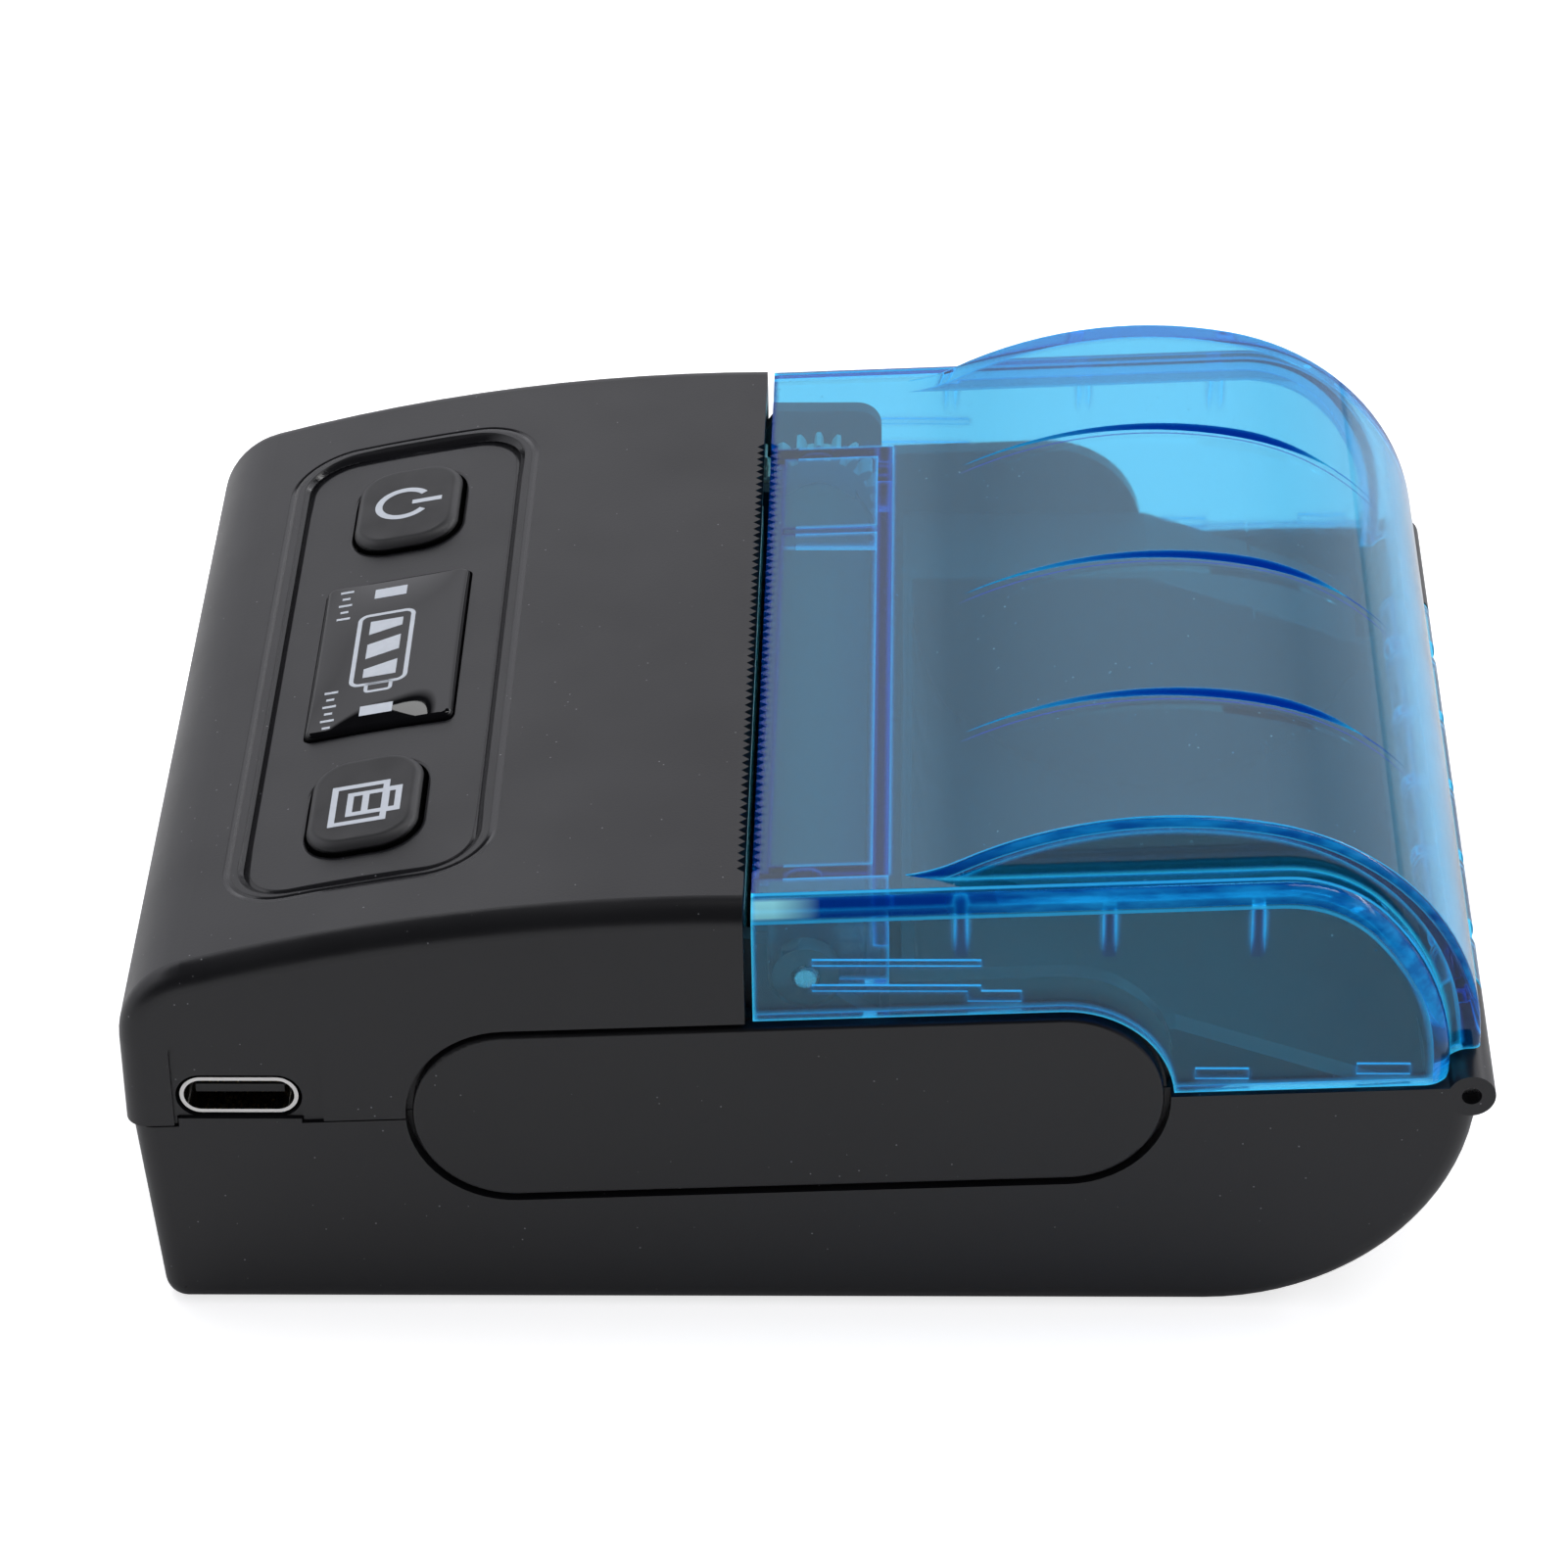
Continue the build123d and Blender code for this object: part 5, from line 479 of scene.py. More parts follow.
def leaning_faces(tree):
    """Masks of the grooves over the bulge, of the rounded side edges, and of the lines beside them."""
    place = frame_parts(tree)
    facing = frame_parts(tree, "Normal")
    off_middle = maths(tree, "ABSOLUTE", place["X"])
    inside = maths(tree, "LESS_THAN", off_middle, BULGE_HALF_WIDTH * MM)
    aside = maths(tree, "ABSOLUTE", facing["X"])
    upward = spread(tree, facing["Z"], 0, 1, *UPWARD_FROM)
    leaning = all_of(tree, band(tree, aside, *LEANING), upward)
    both_lines = maths(tree, "ADD", band(tree, aside, *UPPER_LINE), band(tree, aside, *LOWER_LINE))
    lines = all_of(tree, both_lines, upward, inverse(tree, inside))
    beside = maths(tree, "ABSOLUTE", maths(tree, "SUBTRACT", off_middle, GROOVE_PITCH * MM))
    off_score = maths(tree, "MINIMUM", off_middle, beside)
    score = all_of(
        tree, spread(tree, off_score, 1, 0, 0, SCORE_WIDTH * MM), upward,
        spread(tree, place["Y"], 0, 1, GROOVE_FROM * MM, (GROOVE_FROM + GROOVE_FADE_IN) * MM),
        spread(tree, place["Y"], 1, 0, (GROOVE_TO - GROOVE_FADE_OUT) * MM, GROOVE_TO * MM),
    )
    grooves = all_of(tree, leaning, inside)
    return maths(tree, "MAXIMUM", grooves, score), maths(tree, "SUBTRACT", leaning, grooves), lines


# %% [markdown]
# The rounded side edges are painted deep blue near the cover's mouth, and lighter and mottled further
# back, a painted reflection. Right at the mouth a pale streak is a painted highlight.

# %% Painted blue, reflection and highlight of the side edges
ROUND_DARK = (0.0, 0.03, 0.28)
ROUND_REFLECTION_BLUE = (0.01, 0.3, 0.75)
ROUND_DARK_TO = 10.0
ROUND_REFLECTION_FROM = 17.0
REFLECTION_MOTTLES_PER_MM = 0.5
MOTTLED_FROM = 0.25
HIGHLIGHT_STREAK_COLOUR = (0.35, 0.9, 1.0)
HIGHLIGHT_STREAK_FROM = -2.2
HIGHLIGHT_STREAK_TO = 1.2


def round_painted_light(tree):
    """Painted light of the side edges: deep blue, a mottled reflection, a highlight streak at the mouth."""
    along = frame_parts(tree)["Y"]
    gain = spread(tree, along, 0, 1, ROUND_DARK_TO * MM, ROUND_REFLECTION_FROM * MM)
    reflection_mottles = grain(tree, REFLECTION_MOTTLES_PER_MM, 4, (2, 0.5, 2))
    mottled = spread(tree, reflection_mottles, MOTTLED_FROM, 1.0, 0.35, 0.65)
    blue = two_tone(tree, all_of(tree, gain, mottled), ROUND_DARK, ROUND_REFLECTION_BLUE)
    # Painted highlight: a pale streak right at the mouth.
    highlight_streak = spread(tree, along, 1, 0, HIGHLIGHT_STREAK_FROM * MM, HIGHLIGHT_STREAK_TO * MM)
    return two_tone(tree, highlight_streak, blue, HIGHLIGHT_STREAK_COLOUR)


# %% [markdown]
# Three more masks say where the painted glow goes: the turns of the sheet, the toothed tear edge,
# which is painted dark blue and gets no glow, and the three ribs inside each side wall, which get the
# brightest painted glow.

# %% Turns, tear edge and ribs
TURN_RADIUS = 0.9
TURNED = 0.75
FLAT = 0.985
TEAR_EDGE_TO = -1.6
TEAR_EDGE_HALF = 38.0
RIB_FROM_X = 37.4
RIB_TO_X = 38.45
RIB_FROM_Z = 32.3


def turned_sheet(tree):
    """1 where the sheet turns, 0 where it is flat, by how far the averaged normal leans."""
    average = add(tree, "Bevel", {"Radius": TURN_RADIUS * MM}, samples=6).outputs["Normal"]
    true = add(tree, "NewGeometry").outputs["Normal"]
    return spread(tree, maths(tree, "ABSOLUTE", dot(tree, average, true)), 1, 0, TURNED, FLAT)


def tear_edge_mask(tree):
    """1 on the toothed edge at the cover's mouth."""
    place = frame_parts(tree)
    in_front = maths(tree, "LESS_THAN", place["Y"], TEAR_EDGE_TO * MM)
    off_middle = maths(tree, "ABSOLUTE", place["X"])
    return all_of(tree, in_front, maths(tree, "LESS_THAN", off_middle, TEAR_EDGE_HALF * MM))


def rib_mask(tree):
    """1 on the ribs inside the side walls."""
    place = frame_parts(tree)
    off_middle = maths(tree, "ABSOLUTE", place["X"])
    past_rib_face = maths(tree, "GREATER_THAN", off_middle, RIB_FROM_X * MM)
    inside_wall = maths(tree, "LESS_THAN", off_middle, RIB_TO_X * MM)
    above = maths(tree, "GREATER_THAN", place["Z"], RIB_FROM_Z * MM)
    return all_of(tree, past_rib_face, inside_wall, above)


# %% [markdown]
# The layer of painted glow and highlights covers the clear plastic by a share of its own at every
# point: nearly all of it at the grooves and most of it at edges and turns. On plain faces a weak share
# stands for the haze that dyed plastic always has, and a larger one for specks of dust.

# %% Painted glow, haze and dust
EDGE_GLOW_BLUE = (0.0, 0.2, 0.85)
EDGE_HIGHLIGHT_CYAN = (0.05, 0.7, 1.0)
EDGE_HIGHLIGHT_POWER = 2.5
GROOVE_GLOW_BLUE = (0.0, 0.035, 0.4)
LINE_HIGHLIGHT_CYAN = (0.05, 0.55, 1.0)
EDGE_GLOW_SHARE = 0.75
GROOVE_SHARE = 0.92
ROUND_SHARE = 0.75
LINE_SHARE = 0.7
TINTED_FROM = 0.3
HAZE_COLOUR = (0.02, 0.5, 0.8)
HAZE_SHARE = 0.045
COVER_SPECK_COLOUR = (0.35, 0.75, 0.95)
COVER_SPECK_SHARE = 0.5
EDGE_GLOW_LEVEL = 0.4
RIB_GLOW_LEVEL = 1.3


def edge_glow_haze_and_dust(tree):
    """The painted glow of the turns, with haze and dust, and how much of it covers the clear plastic."""
    turn = turned_sheet(tree)
    tear_edge = tear_edge_mask(tree)
    masks = leaning_faces(tree)
    colour = two_tone(tree, maths(tree, "POWER", turn, EDGE_HIGHLIGHT_POWER), EDGE_GLOW_BLUE, EDGE_HIGHLIGHT_CYAN)
    colour = two_tone(tree, tear_edge, colour, ROUND_DARK)
    share = maths(tree, "MULTIPLY", turn, EDGE_GLOW_SHARE)
    # Painted light on the leaning faces: deep blue glow in the grooves, painted reflection on the rounded
    # edges, highlight lines beside them.
    tints = (GROOVE_GLOW_BLUE, round_painted_light(tree), LINE_HIGHLIGHT_CYAN)
    for mask, tint, most in zip(masks, tints, (GROOVE_SHARE, ROUND_SHARE, LINE_SHARE)):
        colour = two_tone(tree, all_of(tree, mask, inverse(tree, turn)), colour, tint)
        share = maths(tree, "MAXIMUM", share, all_of(tree, mask, most))
    dust = specks(tree)
    plain = two_tone(tree, dust, HAZE_COLOUR, COVER_SPECK_COLOUR)
    colour = two_tone(tree, spread(tree, share, 0, 1, 0, TINTED_FROM), plain, colour)
    share = maths(tree, "MAXIMUM", share, spread(tree, dust, HAZE_SHARE, COVER_SPECK_SHARE, 0, 1))
    level = spread(tree, rib_mask(tree), EDGE_GLOW_LEVEL, RIB_GLOW_LEVEL, 0, 1)
    level = all_of(tree, level, inverse(tree, masks[0]), inverse(tree, tear_edge))
    matt = add(tree, "BsdfDiffuse", {"Color": colour}).outputs[0]
    # Painted glow: the turns and ribs give off a little light of their own, though they are no lamp.
    glow_emission = add(tree, "Emission", {"Color": colour, "Strength": all_of(tree, turn, level)}).outputs[0]
    return add(tree, "AddShader", {0: matt, 1: glow_emission}).outputs[0], share


# %% [markdown]
# Now the pieces come together: the clear surface, the dye in its depth and the painted glow over it.
# Lamps couldn't light what is under such a surface, so rays towards a lamp pass it as if it were a
# tinted film.

# %% Cover finish
DYE_COLOUR = (0.02, 0.775, 0.935)
DYE_PER_METRE = 780.0
FILM_TINT = (0.36, 0.94, 1.0)
COVER_CLOUDS_PER_MM = 0.5
COVER_WAVES_PER_MM = 0.06


def over(tree, share, under, upper):
    """The upper shader over the under one, by a share from 0 to 1."""
    return add(tree, "MixShader", {0: share, 1: under, 2: upper}).outputs[0]


def dyed_cover():
    """Clear plastic with dye in its depth, open to lamps as a tinted film."""
    constants = {"IOR": 1.5, "Transmission_Weight": 1.0, "Specular_IOR_Level": 0.3}
    made, tree, shader = new_finish("cover_blue", 0.02, **constants)
    plug(shader.inputs["Base Color"], (1, 1, 1))
    plug(shader.inputs["Roughness"], spread(tree, grain(tree, COVER_CLOUDS_PER_MM, 3), 0.01, 0.06))
    plug(shader.inputs["Normal"], relief(tree, grain(tree, COVER_WAVES_PER_MM, 1), 0.05, 0.5))
    cover_glow_layer, share = edge_glow_haze_and_dust(tree)
    film = add(tree, "BsdfTransparent", {"Color": FILM_TINT}).outputs[0]
    to_lamp = add(tree, "LightPath").outputs["Is Shadow Ray"]
    dye = add(tree, "VolumeAbsorption", {"Color": DYE_COLOUR, "Density": DYE_PER_METRE}).outputs[0]
    ends = tree.nodes["Material Output"].inputs
    plug(ends["Volume"], dye)
    plug(ends["Surface"], over(tree, to_lamp, over(tree, share, shader.outputs[0], cover_glow_layer), film))
    return made


cover_blue = dyed_cover()
dress(cover_blue, "paper_cover")

# %% [markdown]
# Plain inner mouldings
#
# The bin, the mechanism frame, the gear guard and the small switches are never handled, so their
# mould was left as it was cut: matt black plastic with a slight haze of flow lines.

# %% Inner plastic finishes
FLOW_LINES_PER_MM = 0.25
CUTTER_MARKS_PER_MM = 2.5
ROUGHNESS_SWING = 0.06


def inner_plastic(name, dark, light, roughness, flow):
    """Plastic as it leaves an unpolished mould, with flow lines along the printer."""
    made, tree, shader = new_finish(name, roughness, IOR=1.46)
    lines = grain(tree, FLOW_LINES_PER_MM, 3, (1, flow, 1))
    plug(shader.inputs["Base Color"], two_tone(tree, lines, dark, light))
    roughest = roughness + ROUGHNESS_SWING
    plug(shader.inputs["Roughness"], spread(tree, lines, roughness - ROUGHNESS_SWING, roughest))
    plug(shader.inputs["Normal"], relief(tree, grain(tree, CUTTER_MARKS_PER_MM), 0.0015, 0.2))
    return made


inner_black = inner_plastic("inner_black", (0.018, 0.02, 0.022), (0.027, 0.03, 0.033), 0.55, 0.3)
dress(inner_black, "paper_bin", "mechanism_frame", "gearbox_cover", "power_plunger", "feed_plunger")
chip_black = inner_plastic("chip_black", (0.012, 0.012, 0.012), (0.02, 0.02, 0.02), 0.42, 1.0)
dress(chip_black, "power_switch", "feed_switch", "board_chips", "paper_sensor", "usb_tongue")
gear_white = inner_plastic("gear_white", (0.5, 0.5, 0.46), (0.58, 0.57, 0.54), 0.38, 1.0)
dress(gear_white, "platen_gear", "idler_gear")
bush_grey = inner_plastic("bush_grey", (0.035, 0.036, 0.038), (0.05, 0.051, 0.053), 0.25, 1.0)
dress(bush_grey, "platen_bush_left", "platen_bush_right")

# %% [markdown]
# Metal pieces
#
# Turned steel carries fine rings, drawn and extruded metal carries straight lines, and a plated
# shell is nearly a mirror. All three are one metallic shader. What tells them apart is how far the
# grain is stretched, and how much the roughness varies with it.

# %% Metal finishes
TOOL_MARKS_PER_MM = 3.0


def worked_metal(name, dark, light, rough_low, rough_high, stretch, depth_mm):
    """Metal with tool marks drawn out along the stretched direction."""
    made, tree, shader = new_finish(name, rough_low, metallic=1.0)
    marks = grain(tree, TOOL_MARKS_PER_MM, 3, stretch)
    plug(shader.inputs["Base Color"], two_tone(tree, marks, dark, light))
    plug(shader.inputs["Roughness"], spread(tree, marks, rough_low, rough_high))
    plug(shader.inputs["Normal"], relief(tree, marks, depth_mm, 0.4))
    return made


ACROSS_SHAFT = (6, 1, 1)
ALONG_SHAFT = (0.08, 2, 2)
EVEN = (1, 1, 1)
turned_steel = worked_metal(
    "turned_steel", (0.5, 0.5, 0.51), (0.62, 0.62, 0.63), 0.2, 0.34, ACROSS_SHAFT, 0.004,
)
dress(turned_steel, "platen_shaft", "motor_shaft", "idler_axle", "hinge_pin", "stepper_motor")
dress(turned_steel, "button_board_screws", "board_screws", "case_screws", "mechanism_screws")
spring_steel = worked_metal(
    "spring_steel", (0.42, 0.42, 0.43), (0.55, 0.55, 0.56), 0.22, 0.3, EVEN, 0.002,
)
dress(spring_steel, "head_spring_left", "head_spring_right")
drawn_aluminium = worked_metal(
    "drawn_aluminium", (0.6, 0.6, 0.61), (0.7, 0.7, 0.71), 0.3, 0.42, ALONG_SHAFT, 0.006,
)
dress(drawn_aluminium, "head_heat_sink")
cut_brass = worked_metal("cut_brass", (0.6, 0.42, 0.16), (0.72, 0.52, 0.22), 0.22, 0.34, ALONG_SHAFT, 0.003)
dress(cut_brass, "motor_pinion")
port_nickel = worked_metal("port_nickel", (0.66, 0.65, 0.63), (0.76, 0.75, 0.73), 0.1, 0.2, EVEN, 0.002)
dress(port_nickel, "usb_shell")
contact_gilt = worked_metal("contact_gilt", (0.75, 0.52, 0.2), (0.85, 0.62, 0.28), 0.2, 0.3, EVEN, 0.001)
dress(contact_gilt, "usb_pads")

# %% [markdown]
# Platen rubber
#
# The roller is ground rubber: quite matt, with rings of grinding marks round it.

# %% Platen finish
GRINDING_RINGS_PER_MM = 2.0
ROUND_ROLLER = (4, 0.3, 0.3)


def ground_rubber():
    """Dark rubber with fine grinding rings and dust in them."""
    made, tree, shader = new_finish("platen_rubber", 0.7, IOR=1.5)
    rings = grain(tree, GRINDING_RINGS_PER_MM, 3, ROUND_ROLLER)
    plug(shader.inputs["Base Color"], two_tone(tree, rings, (0.02, 0.02, 0.021), (0.045, 0.045, 0.047)))
    plug(shader.inputs["Roughness"], spread(tree, rings, 0.6, 0.8))
    plug(shader.inputs["Normal"], relief(tree, rings, 0.01, 0.6))
    return made


platen_rubber = ground_rubber()
dress(platen_rubber, "platen_roller")

# %% [markdown]
# Thermal head
#
# The head is a pale ceramic plate under a glaze. Fine conductors lie under the glaze, side by side
# across the printer, so the plate's colour is striped by a wave. The ribbons use the same stripes.

# %% Thermal head finish
CONDUCTOR_SCALE = 1.2


def stripes(tree, scale):
    """Stripes side by side across the printer, from 0 to 1."""
    inputs = {"Vector": frame_place(tree), "Scale": scale, "Distortion": 0.0}
    return add(tree, "TexWave", inputs, bands_direction="X").outputs[1]


def glazed_plate():
    """Pale glazed ceramic with fine conductor lines."""
    made, tree, shader = new_finish("head_ceramic", 0.2, IOR=1.55, Coat_Weight=0.5, Coat_Roughness=0.08)
    conductors = stripes(tree, CONDUCTOR_SCALE)
    plug(shader.inputs["Base Color"], two_tone(tree, conductors, (0.6, 0.57, 0.5), (0.74, 0.72, 0.67)))
    plug(shader.inputs["Roughness"], spread(tree, grain(tree, 1.0), 0.15, 0.3))
    return made


head_ceramic = glazed_plate()
dress(head_ceramic, "thermal_head")

# %% [markdown]
# Circuit boards
#
# Under its green lacquer a board has copper tracks, which stand a few hundredths of a millimetre
# proud and make the lacquer lighter. The edges between Voronoi cells are a net of thin straight lines,
# which stands for them well enough on boards that hardly show.

# %% Board finish
TRACK_CELLS_PER_MM = 0.55
TRACK_EDGE = (0.03, 0.06)


def lacquered_board():
    """Green solder lacquer with lighter tracks under it."""
    made, tree, shader = new_finish("board_green", 0.3, IOR=1.5, Coat_Weight=0.4, Coat_Roughness=0.15)
    cells = add(
        tree, "TexVoronoi", {"Vector": frame_place(tree), "Scale": TRACK_CELLS_PER_MM},
        feature="DISTANCE_TO_EDGE", voronoi_dimensions="2D",
    ).outputs["Distance"]
    tracks = spread(tree, cells, 1, 0, *TRACK_EDGE)
    plug(shader.inputs["Base Color"], two_tone(tree, tracks, (0.008, 0.085, 0.04), (0.03, 0.2, 0.09)))
    plug(shader.inputs["Roughness"], spread(tree, grain(tree, 1.5), 0.22, 0.38))
    plug(shader.inputs["Normal"], relief(tree, tracks, 0.03, 0.6))
    return made


board_green = lacquered_board()
dress(board_green, "main_board", "button_board")

# %% [markdown]
# Battery, lamps, light guide and ribbons
#
# The battery is a cell in blue shrink film, wrinkled a little. The lamps have milky caps, the light
# guide is frosted, and the ribbons are amber film with copper lines showing through.

# %% Battery finish
WRINKLES_PER_MM = 0.12


def shrink_film():
    """Blue film drawn tight over a cell, with soft wrinkles."""
    made, tree, shader = new_finish("battery_wrap", 0.25, IOR=1.5, Coat_Weight=0.6, Coat_Roughness=0.12)
    wrinkles = grain(tree, WRINKLES_PER_MM, 3, (0.4, 1, 1))
    plug(shader.inputs["Base Color"], two_tone(tree, wrinkles, (0.015, 0.04, 0.16), (0.03, 0.07, 0.24)))
    plug(shader.inputs["Roughness"], spread(tree, wrinkles, 0.18, 0.32))
    plug(shader.inputs["Normal"], relief(tree, wrinkles, 0.15, 0.5))
    return made


battery_wrap = shrink_film()
dress(battery_wrap, "battery_pack")

# %% Lamp and light guide finishes
CAP_CLOUDS_PER_MM = 0.8
CLOUD_SHADE = 0.85


def pale_cap(name, tone, transmission):
    """A pale moulding, milky or half clear, with a cloudy surface."""
    made, tree, shader = new_finish(name, 0.3, IOR=1.49, Transmission_Weight=transmission)
    clouds = grain(tree, CAP_CLOUDS_PER_MM, 2)
    dark = [CLOUD_SHADE * part for part in tone]
    plug(shader.inputs["Base Color"], two_tone(tree, clouds, dark, tone))
    plug(shader.inputs["Roughness"], spread(tree, clouds, 0.25, 0.45))
    return made


lamp_white = pale_cap("lamp_white", (0.85, 0.85, 0.74), 0.0)
dress(lamp_white, "status_lamps")
guide_frost = pale_cap("guide_frost", (0.8, 0.83, 0.85), 0.4)
dress(guide_frost, "light_guide")

# %% Ribbon finish
COPPER_LINE_SCALE = 0.32


def amber_ribbon():
    """Amber film with copper lines along it."""
    made, tree, shader = new_finish("ribbon_amber", 0.25, IOR=1.55, Coat_Weight=0.5, Coat_Roughness=0.1)
    lines = stripes(tree, COPPER_LINE_SCALE)
    plug(shader.inputs["Base Color"], two_tone(tree, lines, (0.36, 0.14, 0.02), (0.6, 0.3, 0.06)))
    plug(shader.inputs["Roughness"], spread(tree, grain(tree, 1.0), 0.2, 0.32))
    plug(shader.inputs["Normal"], relief(tree, lines, 0.02, 0.5))
    return made


ribbon_amber = amber_ribbon()
dress(ribbon_amber, "head_ribbon", "panel_ribbon")

# %% [markdown]
# Printed marks
#
# The marks on the keys and the window are pad printed in pale ink. Ink has a thickness, if only of
# a few hundredths of a millimetre, so each mark is a thin plate. It lies on its key, and moves with
# it, or on the window. Its outline is drawn flat as a filled 2D curve, which cuts the holes by
# itself, and then laid on the panel.

# %% Ink finish
INK_PATCHES_PER_MM = 1.6
INK_GRAIN_PER_MM = 6.0


def pale_ink():
    """Pale blue-white ink, slightly uneven."""
    made, tree, shader = new_finish("print_ink", 0.45, IOR=1.45)
    patches = grain(tree, INK_PATCHES_PER_MM, 3)
    plug(shader.inputs["Base Color"], two_tone(tree, patches, (0.5, 0.54, 0.6), (0.62, 0.66, 0.72)))
    plug(shader.inputs["Roughness"], spread(tree, patches, 0.4, 0.55))
    plug(shader.inputs["Normal"], relief(tree, grain(tree, INK_GRAIN_PER_MM), 0.004, 0.4))
    return made


print_ink = pale_ink()

# %% A plate of ink
INK_THICK = 0.03
INK_SUNK = 0.01


def printed(name, outlines, surface_up, body):
    """A plate of ink from closed outlines in panel millimetres, lying on a surface."""
    flat = bpy.data.curves.new(name, "CURVE")
    flat.dimensions = "2D"
    flat.fill_mode = "BOTH"
    flat.extrude = INK_THICK / 2
    for points in outlines:
        spline = flat.splines.new("POLY")
        spline.points.add(len(points) - 1)
        for place, (across, along) in zip(spline.points, points):
            place.co = (across, along, 0, 1)
        spline.use_cyclic_u = True
    mesh = bpy.data.meshes.new_from_object(bpy.data.objects.new(name, flat))
    middle_up = surface_up + INK_THICK / 2 - INK_SUNK
    for vertex in mesh.vertices:
        across, along, up = vertex.co
        vertex.co = on_panel(across, along, middle_up + up)
    mesh.name = name
    mesh.materials.clear()
    mesh.materials.append(print_ink)
    piece = bpy.data.objects.new(name, mesh)
    bpy.context.collection.objects.link(piece)
    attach(piece, body)
    print(name, "has", len(mesh.polygons), "faces on", body)


# %% [markdown]
# Outlines come from three small shapes: an arc that is closed into a ring with a gap, a rectangle,
# and a rectangle with rounded corners. A frame is just a rectangle and a smaller one inside it.

# %% Outline helpers
def arc_points(middle, radius, start, end, steps):
    """Points along an arc, angles in degrees from the panel's across direction."""
    turns = [radians(start + (end - start) * i / steps) for i in range(steps + 1)]
    return [(middle[0] + radius * cos(t), middle[1] + radius * sin(t)) for t in turns]


CORNERS = ((-1, -1), (1, -1), (1, 1), (-1, 1))


def rectangle(across, along, width, length):
    """Corners of a rectangle about its middle."""
    return [(across + side * width / 2, along + end * length / 2) for side, end in CORNERS]


def rounded(across, along, width, length, corner, steps=8):
    """A rectangle with rounded corners about its middle."""
    points = []
    for quarter, (right_side, far_side) in enumerate(((1, 1), (-1, 1), (-1, -1), (1, -1))):
        middle = (across + right_side * (width / 2 - corner), along + far_side * (length / 2 - corner))
        points += arc_points(middle, corner, 90 * quarter, 90 * quarter + 90, steps)
    return points


# %% Power mark
KEY_TOP = 0.45
POWER_MIDDLE = (-21.65, -0.3)
RING_RADIUS = 2.4
RING_STROKE = 0.6
RING_GAP = 36.0
BAR_WIDTH = 0.6
BAR_FROM = 0.75
BAR_TO = 3.25
RING_STEPS = 56

ring_start = 90 + RING_GAP
ring_end = 450 - RING_GAP
ring = arc_points(POWER_MIDDLE, RING_RADIUS, ring_start, ring_end, RING_STEPS)
ring += arc_points(POWER_MIDDLE, RING_RADIUS - RING_STROKE, ring_end, ring_start, RING_STEPS)
bar_middle = POWER_MIDDLE[1] + (BAR_FROM + BAR_TO) / 2
bar = rectangle(POWER_MIDDLE[0], bar_middle, BAR_WIDTH, BAR_TO - BAR_FROM)
printed("power_mark", [ring, bar], KEY_TOP, "power_key")

# %% [markdown]
# The feed mark is a picture of the printer itself: a body, a smaller mouth, and a slip of paper
# that comes out at the top.

# %% Feed mark
FEED_MIDDLE = 22.35
BODY_WIDTH = 5.35
BODY_FROM = -2.55
BODY_TO = 2.0
SLIP_WIDTH = 3.35
SLIP_TO = 3.04
MOUTH_WIDTH = 3.15
MOUTH_FROM = -1.25
FEED_STROKE = 0.5
DIVIDER_FROM = -0.05
DIVIDER_TO = 0.48
SLIP_GAP = 0.08


def span(width, low, high):
    """A rectangle centred across the feed key, from low to high along it."""
    return rectangle(FEED_MIDDLE, (low + high) / 2, width, high - low)


def stepped(half, low, step, narrow_half, end):
    """A shape from low to end along the feed key that is narrower past its step."""
    corners = [
        (-half, low), (half, low), (half, step), (narrow_half, step),
        (narrow_half, end), (-narrow_half, end), (-narrow_half, step), (-half, step),
    ]
    return [(FEED_MIDDLE + across, along) for across, along in corners]


well_to = BODY_TO - FEED_STROKE
body_shape = stepped(BODY_WIDTH / 2, BODY_FROM, BODY_TO, SLIP_WIDTH / 2, SLIP_TO)
well_shape = stepped(
    BODY_WIDTH / 2 - FEED_STROKE, BODY_FROM + FEED_STROKE, well_to, MOUTH_WIDTH / 2, MOUTH_FROM,
)
pane_width = MOUTH_WIDTH - 2 * FEED_STROKE
lower_pane = span(pane_width, MOUTH_FROM + FEED_STROKE, DIVIDER_FROM)
upper_pane = span(pane_width, DIVIDER_TO, well_to)
slip_pane = span(pane_width, BODY_TO + SLIP_GAP, SLIP_TO - FEED_STROKE)
feed_outlines = [body_shape, well_shape, lower_pane, upper_pane, slip_pane]
printed("feed_mark", feed_outlines, KEY_TOP, "feed_key")

# %% [markdown]
# The window carries a battery gauge: a rounded frame, with a nub at its end like the pole of a cell.

# %% Battery gauge
WINDOW_TOP = -0.05
GAUGE_MIDDLE = (-0.45, -0.45)
GAUGE_WIDTH = 10.6
GAUGE_LENGTH = 4.75
GAUGE_CORNER = 0.9
GAUGE_STROKE = 0.36
NUB_WIDTH = 1.45
NUB_LENGTH = 2.3
NUB_STROKE = 0.3
NUB_ASIDE = 0.1
NUB_CORNER = 0.45
NUB_HOLE_CORNER = 0.15


def on_window(name, outlines):
    """Ink on the window."""
    printed(name, outlines, WINDOW_TOP, "case")


def framed(middle, width, length, stroke, corner, hole_corner):
    """The outlines of a rounded frame and of the hole in it."""
    hole = rounded(*middle, width - 2 * stroke, length - 2 * stroke, hole_corner)
    return [rounded(*middle, width, length, corner), hole]


